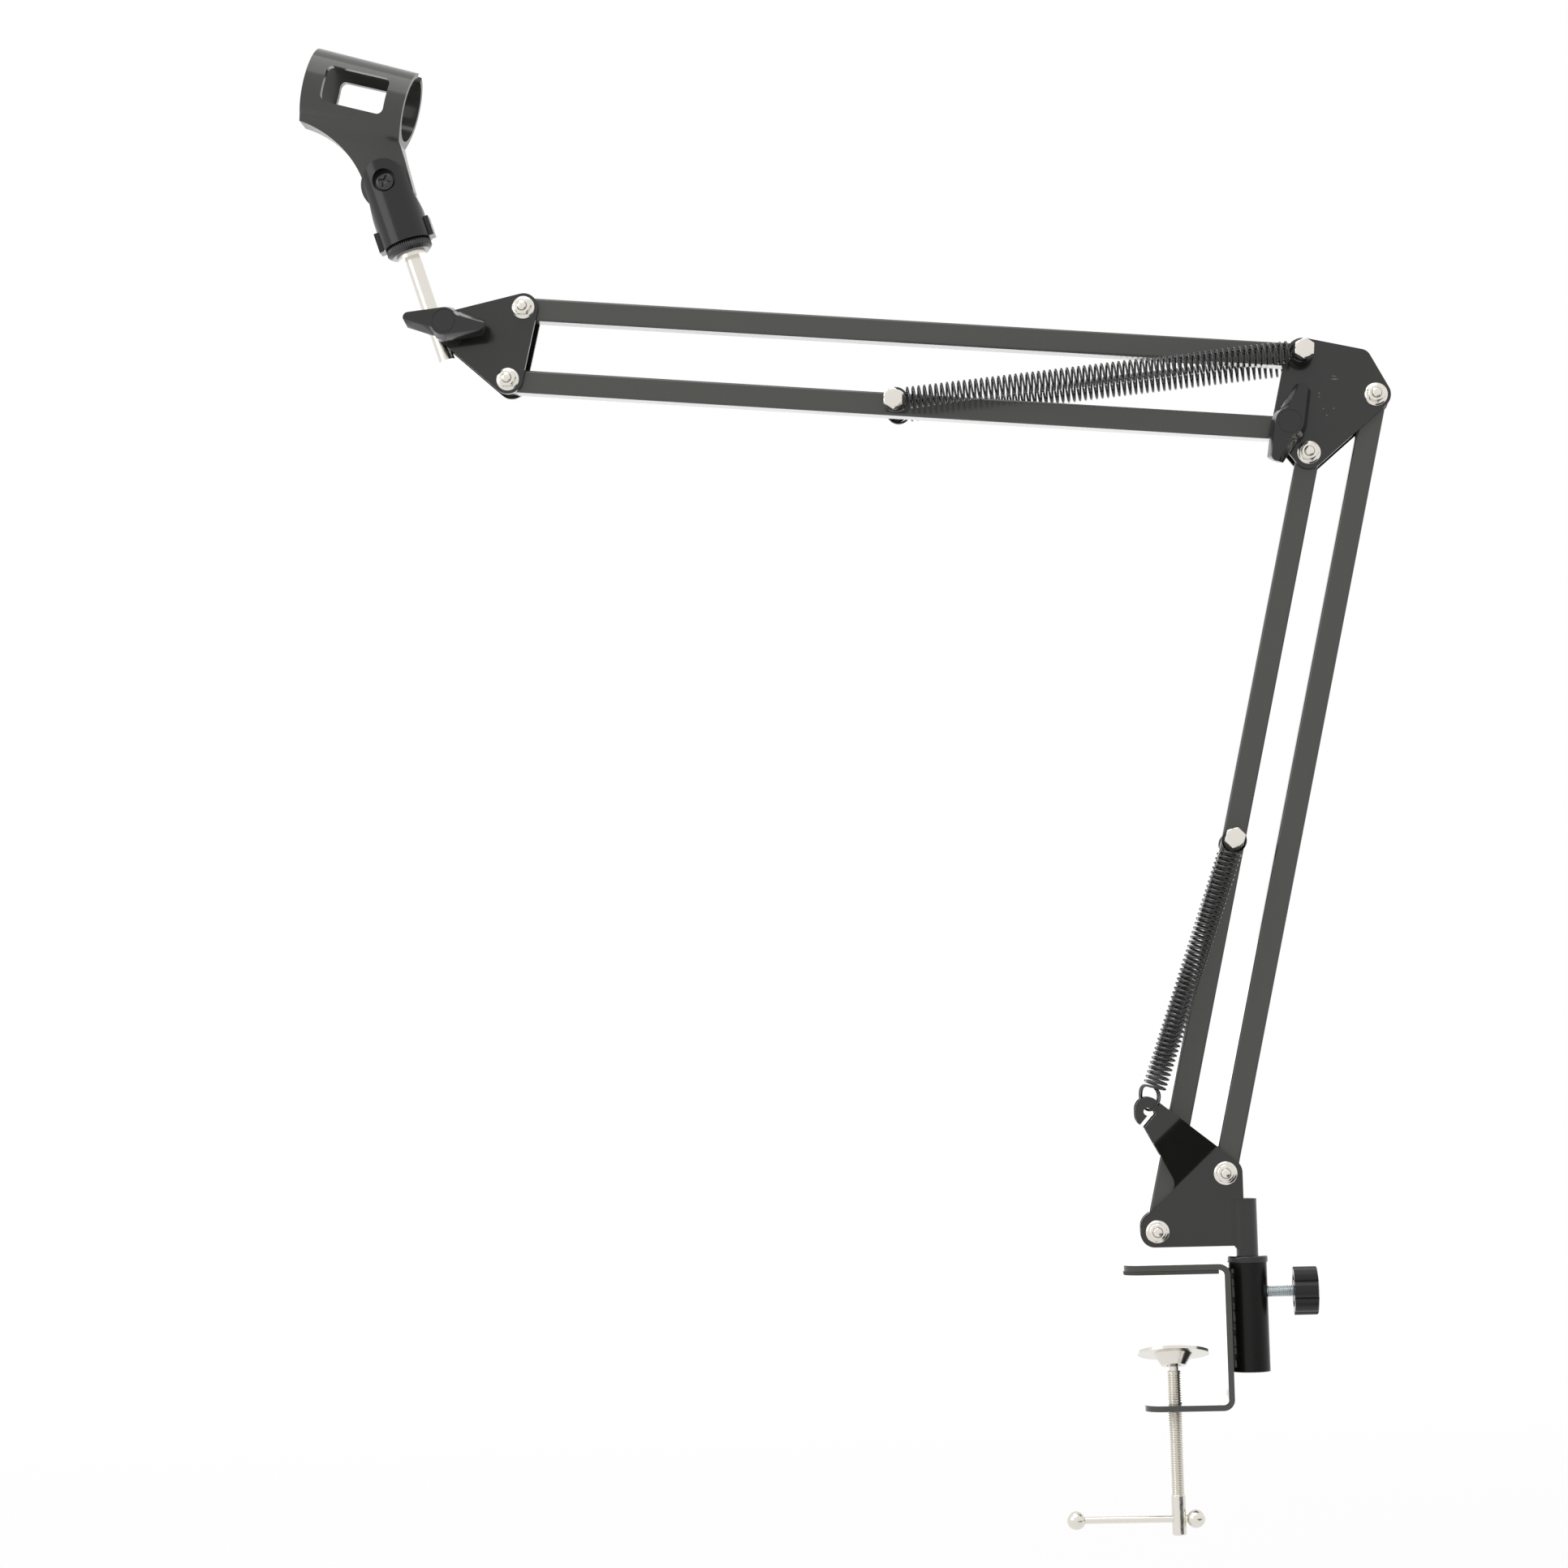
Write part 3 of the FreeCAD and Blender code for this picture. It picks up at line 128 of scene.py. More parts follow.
def surface(name, base, roughness, metallic=0.0, grain_mm=None, bump_mm=0.0, mottle=0.0, specular=0.5,
            gloss=0.0):
    """Principled surface: a fine noise bumps it and varies its roughness; gloss adds a clear skin."""
    material = bpy.data.materials.new(name)
    material.use_nodes = True
    tree = material.node_tree
    tree.nodes.clear()
    shader = {"Base Color": linear(base), "Metallic": metallic, "Roughness": roughness,
              "Specular IOR Level": specular, "Coat Weight": gloss, "Coat Roughness": skin_roughness,
              "Coat IOR": skin_ior}
    if grain_mm:
        place = node(tree, "ShaderNodeTexCoord").outputs["Object"]
        grain = node(tree, "ShaderNodeTexNoise",
                     {"Vector": place, "Scale": 1 / (grain_mm * MM), "Detail": 2.0})
        bump = node(tree, "ShaderNodeBump", {"Height": grain.outputs["Fac"], "Distance": bump_mm * MM})
        varied = node(tree, "ShaderNodeMapRange", {
            "Value": grain.outputs["Fac"], "From Min": 0.3, "From Max": 0.7,
            "To Min": roughness - mottle, "To Max": roughness + mottle})
        shader["Normal"] = bump.outputs["Normal"]
        shader["Roughness"] = varied.outputs["Result"]
    lit = node(tree, "ShaderNodeBsdfPrincipled", shader)
    node(tree, "ShaderNodeOutputMaterial", {"Surface": lit.outputs["BSDF"]})
    return material


plate_black, bar_black, chip_pale = "#191917", "#3c3c38", "#a5a49c"
chip_grain_mm = 0.5


def coat(name, base):
    """The arm's paint: satin, with a clear skin that pales where light grazes it."""
    return surface(name, base, 0.38, grain_mm=0.9, bump_mm=0.003, mottle=0.05, specular=0.12, gloss=1.0)


def marked(material, base, face, marks):
    """Chips and scratches on a face: stretched spots (x, z, length, width, turn), broken by a fine noise."""
    tree = material.node_tree
    lit = next(n for n in tree.nodes if n.type == "BSDF_PRINCIPLED")
    place = next(n for n in tree.nodes if n.type == "TEX_COORD").outputs["Object"]
    noise = node(tree, "ShaderNodeTexNoise",
                 {"Vector": place, "Scale": 1 / (chip_grain_mm * MM), "Detail": 3.0})
    amount = None
    for x, z, length, width, turn in marks:
        spot = node(tree, "ShaderNodeMapping", {
            "Vector": place, "Location": (x * MM, face * MM, z * MM), "Rotation": (0, math.radians(turn), 0),
            "Scale": (length * MM, MM, width * MM)}, vector_type="TEXTURE")
        ball = node(tree, "ShaderNodeTexGradient", {"Vector": spot.outputs["Vector"]},
                    gradient_type="SPHERICAL").outputs["Fac"]
        amount = ball if amount is None else node(tree, "ShaderNodeMath", {0: amount, 1: ball},
                                                  operation="MAXIMUM").outputs[0]
    worn = node(tree, "ShaderNodeMath", {0: amount, 1: noise.outputs["Fac"]}, operation="MULTIPLY")
    share = node(tree, "ShaderNodeMapRange", {"Value": worn.outputs[0], "From Min": 0.1, "From Max": 0.5,
                                              "To Max": 0.45})
    mixed = node(tree, "ShaderNodeMix", {"Factor": share.outputs["Result"], "A": linear(base),
                                         "B": linear(chip_pale)}, data_type="RGBA")
    tree.links.new(mixed.outputs["Result"], lit.inputs["Base Color"])
    return material


# satin black paint on plates and bracket: dark, with an even soft sheen and a fine orange peel
powder_coat = coat("powder coat, satin black", plate_black)
# the tubes and the clamp strip are a shade greyer
bar_coat = coat("powder coat, charcoal", bar_black)
# the elbow's front plate carries a scratch and a few chips where the arm was laid down
mark_face = -7.1
plate_marks = (
    (83.4, 380.6, 2.6, 0.45, 2), (83.2, 381.9, 1.6, 0.35, 8), (76.7, 374.8, 0.6, 0.6, 0),
    (76.5, 373.2, 0.5, 0.6, 0), (82.6, 367.9, 0.6, 0.6, 0), (79.6, 365.0, 0.6, 0.7, 0),
    (78.2, 367.9, 0.5, 0.5, 0))
scuffed_coat = marked(coat("powder coat, scuffed", plate_black), plate_black, mark_face, plate_marks)
# the socket's paint is duller face on: darker, pale only where light grazes it
socket_paint = surface("enamel, black", "#10100f", 0.3, grain_mm=2.0, bump_mm=0.003, mottle=0.03,
                       specular=0.22)
# moulded knobs and bush: duller than the paint, fine spark texture
black_plastic = surface("moulded plastic, black", "#151514", 0.4, grain_mm=0.5, bump_mm=0.004, mottle=0.05,
                        specular=0.1, gloss=0.9)
# clip: smooth greyer mould, broad soft glints
clip_plastic = surface("moulded plastic, smooth", "#333330", 0.4, grain_mm=2.5, bump_mm=0.006, mottle=0.04,
                       specular=0.2, gloss=0.8)
# knuckle: the same mould in a deeper black
knuckle_plastic = surface("moulded plastic, deep black", "#0d0d0c", 0.4, grain_mm=2.5, bump_mm=0.004,
                          mottle=0.04, specular=0.15, gloss=0.65)
# thumb knob: dull and darkest, a thin glint along each lobe
knob_plastic = surface("moulded plastic, dull black", "#0b0b0b", 0.3, grain_mm=0.5, bump_mm=0.003,
                       mottle=0.04, specular=0.4)
# pad: dull, drinks the light
pad_rubber = surface("pad rubber", "#3e3e3a", 0.75, grain_mm=0.6, bump_mm=0.020, mottle=0.05)
# nuts, bolts, screw and rod: bright warm plate that mirrors the white room
nickel = surface("nickel plate", "#e2ded6", 0.2, 1.0, grain_mm=1.5, bump_mm=0.003, mottle=0.05)
# thumb screw: bluish plate, duller than the nickel
zinc = surface("zinc plate", "#ccd2d4", 0.26, 1.0, grain_mm=1.2, bump_mm=0.004, mottle=0.06)
# cross-head screw, insert and sleeves: oiled black steel
black_hardware = surface("blackened steel", "#121212", 0.26, grain_mm=1.0, bump_mm=0.004, mottle=0.05,
                         gloss=0.5)
# washers: dark, waxy
nylon = surface("nylon, dark", "#1a1a1a", 0.45, grain_mm=1.0, bump_mm=0.004, mottle=0.03, specular=0.4)
# wound wire: gloss black with a pale glint on every turn
spring_wire = surface("spring wire, black", "#080808", 0.14, grain_mm=1.0, bump_mm=0.002, mottle=0.04,
                      specular=0.8)

by_slot = {"powder_coat": powder_coat, "black_plastic": black_plastic, "pad_rubber": pad_rubber,
           "nickel": nickel, "zinc": zinc, "black_hardware": black_hardware, "nylon": nylon,
           "spring_wire": spring_wire}
by_node = {"clip_sleeve": clip_plastic, "clip_knuckle": knuckle_plastic, "socket_tube": socket_paint,
           "elbow_front_plate": scuffed_coat, "thumb_knob": knob_plastic, "clamp_bracket": bar_coat,
           "upper_top_bar": bar_coat, "upper_bottom_bar": bar_coat, "lower_inner_bar": bar_coat,
           "lower_outer_bar": bar_coat}
for name, solid in frame["nodes"].items():
    for slot in solid.material_slots:
        slot.material = by_node.get(name) or by_slot[slot.material.name.split(".")[0]]


def softened(name, width):
    """Round a moulded or cut solid's sharp edges."""
    solid = frame["nodes"][name]
    weld = solid.modifiers.new("weld", "WELD")
    weld.merge_threshold = 1e-6
    edge = solid.modifiers.new("edge", "BEVEL")
    edge.width = width * MM
    edge.segments = 3
    edge.limit_method = "ANGLE"
    edge.angle_limit = math.radians(30)
    edge.harden_normals = True


wing_edge = 0.7
softened("elbow_wing_knob", wing_edge)
softened("head_wing_knob", wing_edge)


# Surfaces as grids of points: rows run along a piece, columns run round it and close on themselves
def mesh_piece(name, shells, finish, nodes=(), body=None, sharp=35.0):
    """One object from closed grids. It stands for the solids named and rides on a body."""
    points, faces, start = [], [], 0
    for grid in shells:
        rows, columns = grid.shape[:2]
        index = start + np.arange(rows * columns).reshape(rows, columns)
        beside = np.roll(index, -1, axis=1)
        faces.append(np.stack((index[:-1], beside[:-1], beside[1:], index[1:]), axis=-1).reshape(-1, 4))
        points.append(grid.reshape(-1, 3))
        start += rows * columns
    mesh = bpy.data.meshes.new(name)
    mesh.from_pydata(np.concatenate(points) * MM, [], np.concatenate(faces).tolist())
    work = bmesh.new()
    work.from_mesh(mesh)
    bmesh.ops.remove_doubles(work, verts=work.verts, dist=1e-7)
    bmesh.ops.dissolve_degenerate(work, edges=work.edges, dist=1e-8)
    bmesh.ops.recalc_face_normals(work, faces=work.faces)
    work.to_mesh(mesh)
    work.free()
    mesh.shade_smooth()
    mesh.set_sharp_from_angle(angle=math.radians(sharp))
    mesh.materials.append(finish)
    made = bpy.data.objects.new(name, mesh)
    bpy.context.scene.collection.objects.link(made)
    if nodes:
        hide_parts(*nodes)
    if body:
        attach(made, body)
    return made


def capped(grid):
    """A grid whose ends are closed by rows drawn in to their middles."""
    ends = [np.broadcast_to(grid[i].mean(axis=0), grid[i].shape)[None] for i in (0, -1)]
    return np.concatenate((ends[0], grid, ends[1]))


def placed(grid, origin, axis, side):
    """Points drawn about Z, moved to origin with Z along axis and X along side."""
    axis = np.array(axis, float) / np.linalg.norm(axis)
    side = np.array(side, float) - axis * np.dot(side, axis)
    side = side / np.linalg.norm(side)
    return origin + grid @ np.stack((side, np.cross(axis, side), axis))


def lathe(rows, flats=0.0, columns=72):
    """Rows of radius, height and a mark, turned about Z. Marked rows stay inside a hexagon flats across."""
    rows = np.array(rows, float)
    angle = np.linspace(0, TURN, columns, endpoint=False)
    radius = np.repeat(rows[:, :1], columns, axis=1)
    hexagon = flats / 2 / np.cos((angle + TURN / 12) % (TURN / 6) - TURN / 12)
    radius = np.where(rows[:, 2:3] > 0, np.minimum(radius, hexagon), radius)
    height = np.repeat(rows[:, 1:2], columns, axis=1)
    return np.stack((radius * np.cos(angle), radius * np.sin(angle), height), axis=-1)


def plain(*rows):
    """Unmarked rows of radius and height."""
    return [(radius, height, 0) for radius, height in rows]


def hex_rows(*rows):
    """Rows of radius and height held inside the hexagon."""
    return [(radius, height, 1) for radius, height in rows]


def flat_side(degrees):
    """Direction of a hexagon's flat, seen from the front."""
    a = math.radians(degrees)
    return (math.cos(a), 0, math.sin(a))


FRONT = (0, -1, 0)

# Flange nuts and the rounded tips of their bolts, turned as each one was left by the spanner
corner_slack = 0.05
nut_flats, nut_flange_radius, nut_height, nut_bore = 7.0, 5.0, 4.6, 2.1
bolt_radius, bolt_head_height, bolt_stand, bolt_head_turn = 2.0, 2.8, 0.9, 25
nut_corner = nut_flats / math.sqrt(3) + corner_slack
bolt_tip = plate_face + nut_height + bolt_stand
nut_rows = (
    plain((nut_bore, 0), (nut_flange_radius, 0), (nut_flange_radius, 0.55), (4.85, 0.75), (nut_corner, 1.15))
    + hex_rows((nut_corner, 1.15), (nut_corner, 4.0), (3.85, 4.16), (3.65, 4.3), (3.5, 4.4), (3.3, 4.52),
               (3.1, nut_height))
    + plain((2.35, nut_height), (2.15, 4.4), (nut_bore, 0)))
head_face = -plate_face - bolt_head_height
bolt_rows = (
    plain((0, head_face))
    + hex_rows((3.2, head_face), (3.5, head_face + 0.15), (3.8, head_face + 0.35),
               (nut_corner, head_face + 0.6), (nut_corner, -plate_face))
    + plain((bolt_radius, -plate_face), (bolt_radius, bolt_tip - 0.5), (1.85, bolt_tip - 0.2),
            (1.5, bolt_tip), (0, bolt_tip + 0.05)))
nut_turns = {"base": ((base_low, 47.5), (base_high, 23.0)),
             "elbow": ((elbow_low, 19.6), (elbow_high, 9.4)),
             "head": ((head_low, 32.2), (head_high, 30.0))}
for joint, places in nut_turns.items():
    seat = np.array((0, -plate_face, 0))
    nuts = [placed(lathe(nut_rows, nut_flats), place + seat, FRONT, flat_side(turn))
            for place, turn in places]
    bolts = [placed(lathe(bolt_rows, nut_flats), place, FRONT, flat_side(turn + bolt_head_turn))
             for place, turn in places]
    mesh_piece(f"{joint}_flange_nuts", nuts, nickel, [f"{joint}_nuts"], joint)
    mesh_piece(f"{joint}_pivot_bolts", bolts, nickel, [f"{joint}_bolts"], joint)

# Long bolts that carry the springs: chamfered head in front, nut and bolt end behind
spring_flats, spring_bolt_radius, spring_head_height = 8.0, 2.5, 3.5
spring_nut_bore, spring_nut_turn = 2.55, 17
spring_corner = spring_flats / math.sqrt(3) + corner_slack
for name, body, place, turn in (("lower", "lower_inner", centre("lower_spring_bolt"), 44.0),
                                ("upper", "upper_bottom", centre("upper_spring_bolt"), 57.0),
                                ("elbow", "elbow", elbow_spring, 56.0)):
    low, high = box(f"{name}_spring_bolt")
    nut_low, nut_high = box(f"{name}_spring_nut")
    head_top, bolt_end = -low[1], -high[1]
    head_under = head_top - spring_head_height
    rows = (plain((0, head_top))
            + hex_rows((3.7, head_top), (3.95, head_top - 0.08), (4.2, head_top - 0.2),
                       (4.4, head_top - 0.32), (spring_corner, head_top - 0.45), (spring_corner, head_under))
            + plain((spring_bolt_radius, head_under), (spring_bolt_radius, bolt_end + 0.4),
                    (2.2, bolt_end), (0, bolt_end)))
    bolt = placed(lathe(rows, spring_flats), place, FRONT, flat_side(turn))
    mesh_piece(f"{name}_spring_hex_bolt", [bolt], nickel, [f"{name}_spring_bolt"], body)
    near, far = -nut_low[1], -nut_high[1]
    rows = (plain((spring_nut_bore, near))
            + hex_rows((4.0, near), (4.3, near - 0.15), (spring_corner, near - 0.4),
                       (spring_corner, far + 0.4), (4.3, far + 0.15), (4.0, far))
            + plain((spring_nut_bore, far), (spring_nut_bore, near)))
    nut = placed(lathe(rows, spring_flats), place, FRONT, flat_side(turn + spring_nut_turn))
    mesh_piece(f"{name}_spring_hex_nut", [nut], nickel, [f"{name}_spring_nut"], body)


# Screw threads
def thread(length, radius, pitch, depth, start, end, columns=32, rows_per_pitch=14):
    """A rod along Z cut by a helical V: its radius falls by a triangle wave of height over pitch plus turn.

    The wave is cut flat at crest and root. The thread runs from start to end and fades out over one pitch.
    Both rod ends are rounded by a fifth of the radius.
    """
    height = np.unique(np.concatenate((np.linspace(0, length, 120), np.linspace(0, pitch, 12),
                                       np.linspace(length - pitch, length, 12),
                                       np.arange(start, end, pitch / rows_per_pitch))))[:, None]
    angle = np.linspace(0, TURN, columns, endpoint=False)[None]
    wave = np.abs(2 * ((height / pitch + angle / TURN) % 1) - 1)
    fade = np.clip(np.minimum(height - start, end - height) / pitch, 0, 1)
    rounding = 0.2 * radius
    tip = np.clip(1 - np.minimum(height, length - height) / rounding, 0, 1)
    outer = radius - rounding * (1 - np.sqrt(1 - tip ** 2))
    r = outer - depth * fade * np.clip(1.3 * wave - 0.15, 0, 1)
    grid = np.stack((r * np.cos(angle), r * np.sin(angle), np.broadcast_to(height, r.shape)), axis=-1)
    return capped(grid)


low, high = box("clamp_screw")
screw_radius, screw_pitch, screw_depth, plain_foot, plain_top = 3.0, 1.0, 0.5, 16.4, 0.4
screw_length = high[2] - low[2]
turned = thread(screw_length, screw_radius, screw_pitch, screw_depth, plain_foot, screw_length - plain_top)
mesh_piece("clamp_screw_thread", [placed(turned, np.array((0, 0, low[2])), (0, 0, 1), (1, 0, 0))],
           nickel, ["clamp_screw"], "screw")
low, high = box("thumb_screw")
thumb_radius, thumb_pitch, thumb_depth = 2.5, 0.8, 0.4
thumb_length = high[0] - low[0]
thumb_foot = np.array((low[0], 0, (low[2] + high[2]) / 2))
turned = thread(thumb_length, thumb_radius, thumb_pitch, thumb_depth, 0, thumb_length)
mesh_piece("thumb_screw_thread", [placed(turned, thumb_foot, (1, 0, 0), (0, 0, 1))], zinc,
           ["thumb_screw"], "thumb")

# Knurled ring of the insert: a turned profile whose rim dips between ribs by a sharpened cosine of the turn.
# It stands a hair off the rod's collar, so that the two never share a face.
rod_axis = np.array(joints["clip_spin"]["axis"])
rod_foot = pivot("clip_spin")
ribs, rib_depth = 64, 0.35
ring_radius, ring_bore, ring_height, ring_bottom = 10.2, 5.0, 4.5, 38.5
ring_lift, sleeve_radius, sleeve_height = 0.05, 7.0, 12.0
profile = np.array([(ring_bore, ring_lift), (8.2, ring_lift), (8.6, 0.1), (9.9, 1.3), (ring_radius, 1.7),
                    (ring_radius, ring_height - 0.3), (9.9, ring_height), (sleeve_radius, ring_height),
                    (sleeve_radius, sleeve_height), (ring_bore, sleeve_height), (ring_bore, ring_lift)])
rib_share = np.array([0, 0, 0, 0.3, 1, 1, 0.5, 0, 0, 0, 0])[:, None]
angle = np.linspace(0, TURN, 6 * ribs, endpoint=False)[None]
r = profile[:, :1] - rib_depth * rib_share * (0.5 + 0.5 * np.cos(ribs * angle)) ** 1.5
grid = np.stack((r * np.cos(angle), r * np.sin(angle),
                 np.broadcast_to(profile[:, 1:] + ring_bottom, r.shape)), axis=-1)
mesh_piece("insert_knurl", [placed(grid, rod_foot, rod_axis, (0, 1, 0))], black_hardware,
           ["threaded_insert"], "clip_foot")


# Cross-head screw of the clip
cross_columns = 160


def cross_head(radius, crown, arm, blade, depth):
    """A domed disc with a star-shaped recess.

    The dome falls off with the square of the radius. The recess is where the smaller of the two offsets from
    the arms' lines is under the blade's half width, which swells near the middle by a bell curve. It fades
    over a short edge and gets shallower along the arms.
    """
    swell_reach, side_edge, end_edge, shallowing = 1.1, 0.22, 0.3, 0.4
    r = np.linspace(0, radius, 60)[:, None]
    angle = np.linspace(0, TURN, cross_columns, endpoint=False)[None]
    u, v = np.abs(r * np.cos(angle)), np.abs(r * np.sin(angle))
    long, short = np.maximum(u, v), np.minimum(u, v)
    inside = np.clip((blade / 2 * (1 + np.exp(-(long / swell_reach) ** 2)) - short) / side_edge, 0, 1)
    inside = inside * np.clip((arm - long) / end_edge, 0, 1)
    height = crown * (1 - (r / radius) ** 2) - depth * inside * (1 - shallowing * long / arm)
    return np.stack((r * np.cos(angle), r * np.sin(angle), np.broadcast_to(height, u.shape)), axis=-1)


low, high = box("clip_screw")
cross_radius, cross_shank, cross_head_height = 3.8, 2.0, 2.4
cross_crown, cross_arm, cross_blade, cross_depth, cross_turn = 0.45, 2.8, 1.0, 1.5, -16
cross_length = high[1] - low[1]
shank = lathe(plain((cross_radius, 0), (cross_radius, -cross_head_height), (cross_shank, -cross_head_height),
                    (cross_shank, -cross_length), (0, -cross_length)), columns=cross_columns)
screw = np.concatenate((cross_head(cross_radius, cross_crown, cross_arm, cross_blade, cross_depth), shank))
screw_place = centre("clip_screw") + np.array((0, low[1], 0))
mesh_piece("clip_cross_screw", [placed(screw, screw_place, FRONT, flat_side(cross_turn))], black_hardware,
           ["clip_screw"], "clip_foot")


# Springs
wire_radius, coil_radius, loop_radius = 0.5, 4.35, 4.9
loop_travel, loop_settle = math.radians(345), math.radians(150)
samples_per_turn, wire_sides, loop_samples, smoothing = 20, 8, 1.6, 11


def spring_line(first, last, turns, last_turn, inward):
    """Centreline of a spring: a round loop about first, a helix to last and a round loop about it.

    Each loop lies in a plane through the helix axis and rises out of it, by half a cosine wave over the
    settle angle, to join the helix. The last loop's plane is turned about the axis by last_turn.
    """
    axis = (last - first) / np.linalg.norm(last - first)
    inward = np.array(inward, float)
    across = np.cross(inward, axis)
    start, end = first + axis * loop_radius, last - axis * loop_radius
    a = np.linspace(0, loop_travel, int(loop_samples * samples_per_turn * loop_travel / TURN))[:, None]
    rise = coil_radius * (1 + np.cos(np.minimum(a / loop_settle, 1) * math.pi)) / 2
    head = first + (axis * np.cos(a) + across * np.sin(a)) * loop_radius + inward * rise
    side = across * math.cos(last_turn) + inward * math.sin(last_turn)
    lift = inward * math.cos(last_turn) - across * math.sin(last_turn)
    tail = last - (axis * np.cos(a) + side * np.sin(a)) * loop_radius + lift * rise
    share = np.linspace(0, 1, turns * samples_per_turn)[:, None]
    a = math.pi / 2 + (TURN * turns + last_turn) * share
    helix = start + (end - start) * share + (across * np.cos(a) + inward * np.sin(a)) * coil_radius
    return np.concatenate((head[::-1], helix[1:-1], tail))


def tube(line, radius, sides):
    """A round tube along a line, framed by its smoothed curvature, with closed ends."""
    way = np.gradient(line, axis=0)
    way /= np.linalg.norm(way, axis=1)[:, None]
    bend = np.gradient(way, axis=0)
    window = np.hanning(smoothing) / np.hanning(smoothing).sum()
    padded = np.pad(bend, ((smoothing // 2, smoothing // 2), (0, 0)), mode="edge")
    bend = np.stack([np.convolve(part, window, mode="valid") for part in padded.T], axis=1)
    bend -= way * (bend * way).sum(axis=1)[:, None]
    bend /= np.linalg.norm(bend, axis=1)[:, None]
    other = np.cross(way, bend)
    a = np.linspace(0, TURN, sides, endpoint=False)[None, :, None]
    return capped(line[:, None] + radius * (bend[:, None] * np.cos(a) + other[:, None] * np.sin(a)))


def toward(start, end, distance):
    """The point at a distance from start on the way to end."""
    return start + (end - start) * distance / np.linalg.norm(end - start)


def straighten(coil):
    """Read the places of a coil's points; nothing is done with them, so the coil keeps the shape it was built
    with.
    """
    place = np.empty(3 * len(coil.data.vertices), np.float32)
    coil.data.vertices.foreach_get("co", place)


spring_plane, spool_offset, hook_offset = 15.7, 0.85, 5.55
hook_seat = base_low + np.array((-2.8, 0, 51.1))
lower_bolt, upper_bolt = centre("lower_spring_bolt"), centre("upper_spring_bolt")
hook_turns = {"front": math.radians(-132), "rear": math.radians(-132) + math.pi}
spring_ends = {
    "upper": (toward(upper_bolt, elbow_spring, spool_offset), toward(elbow_spring, upper_bolt, spool_offset)),
    "lower": (toward(lower_bolt, hook_seat, spool_offset), toward(hook_seat, lower_bolt, hook_offset))}
for name, turns, still, moving in (("upper", 67, "elbow", "upper_bottom"),
                                   ("lower", 50, "base", "lower_inner")):
    for place, y in (("front", -spring_plane), ("rear", spring_plane)):
        shift = np.array((0, y, 0))
        first, last = (end + shift for end in spring_ends[name])
        last_turn = hook_turns[place] if name == "lower" else 0.0
        line = spring_line(first, last, turns, last_turn, (0, -np.sign(y), 0))
        coil = mesh_piece(f"{name}_coil_{place}", [tube(line, wire_radius, wire_sides)], spring_wire,
                          [f"{name}_spring_{place}"])
        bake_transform(coil)
        if name == "lower":
            straighten(coil)


# Jaw pad: a flat rubber slab with a rounded rim
def slab(half_length, half_width, corner, low_z, high_z, rim, samples=24):
    """A rectangle with round corners at its left end, thickened, its rims quarter rounds."""
    turn = np.linspace(0, TURN / 4, samples)
    left = -half_length + corner
    tight = half_length - rim
    outline, normal = [], []
    for x, y, radius, first in ((tight, -half_width + rim, rim, 3), (tight, half_width - rim, rim, 0),
                                (left, half_width - corner, corner, 1),
                                (left, -half_width + corner, corner, 2)):
        a = turn + first * TURN / 4
        out = np.stack((np.cos(a), np.sin(a), 0 * a), axis=1)
        outline.append(np.array((x, y, 0)) + radius * out)
        normal.append(out)
    outline, normal = np.concatenate(outline), np.concatenate(normal)
    a = np.linspace(0, TURN / 4, 6)
    inset = rim * (1 - np.concatenate((np.sin(a), np.cos(a))))
    height = np.concatenate((low_z + rim * (1 - np.cos(a)), high_z - rim * (1 - np.sin(a))))
    grid = outline[None] - normal[None] * inset[:, None, None]
    grid = grid + np.array((0, 0, 1)) * height[:, None, None]
    return capped(grid)


low, high = box("jaw_pad")
pad_corner, pad_rim = 8.0, 0.35
sheet = slab((high[0] - low[0]) / 2, (high[1] - low[1]) / 2, pad_corner, low[2], high[2], pad_rim)
pad = mesh_piece("jaw_pad_rubber", [sheet], pad_rubber, ["jaw_pad"], "clamp")

# Weld beads between the clamp's leg and the socket tube: round rods whose radius swells by two slow cosines
# of the height, with a fine ripple that bows round the bead
tube_low, tube_high = box("socket_tube")
bead_x, bead_y = tube_low[0] + 0.85, 5.0
bead_radius, bead_ripple, bead_pitch, long_swell, short_swell = 1.3, 0.1, 1.7, 11.3, 4.9
bead_foot, bead_top = tube_low[2] + 2.0, tube_high[2] - 2.5
height = np.linspace(bead_foot, bead_top, 240)[:, None]
angle = np.linspace(0, TURN, 20, endpoint=False)[None]
for place, way in (("front", -1), ("rear", 1)):
    ripple = np.cos(TURN * (height + 0.5 * np.cos(angle)) / bead_pitch)
    swell = np.cos(TURN * height / long_swell + way) + 0.6 * np.cos(TURN * height / short_swell)
    r = bead_radius + bead_ripple * (0.2 * ripple + swell)
    grid = np.stack((bead_x + r * np.cos(angle), way * bead_y + r * np.sin(angle),
                     np.broadcast_to(height, r.shape)), axis=-1)
    mesh_piece(f"weld_bead_{place}", [capped(grid)], powder_coat, body="clamp")


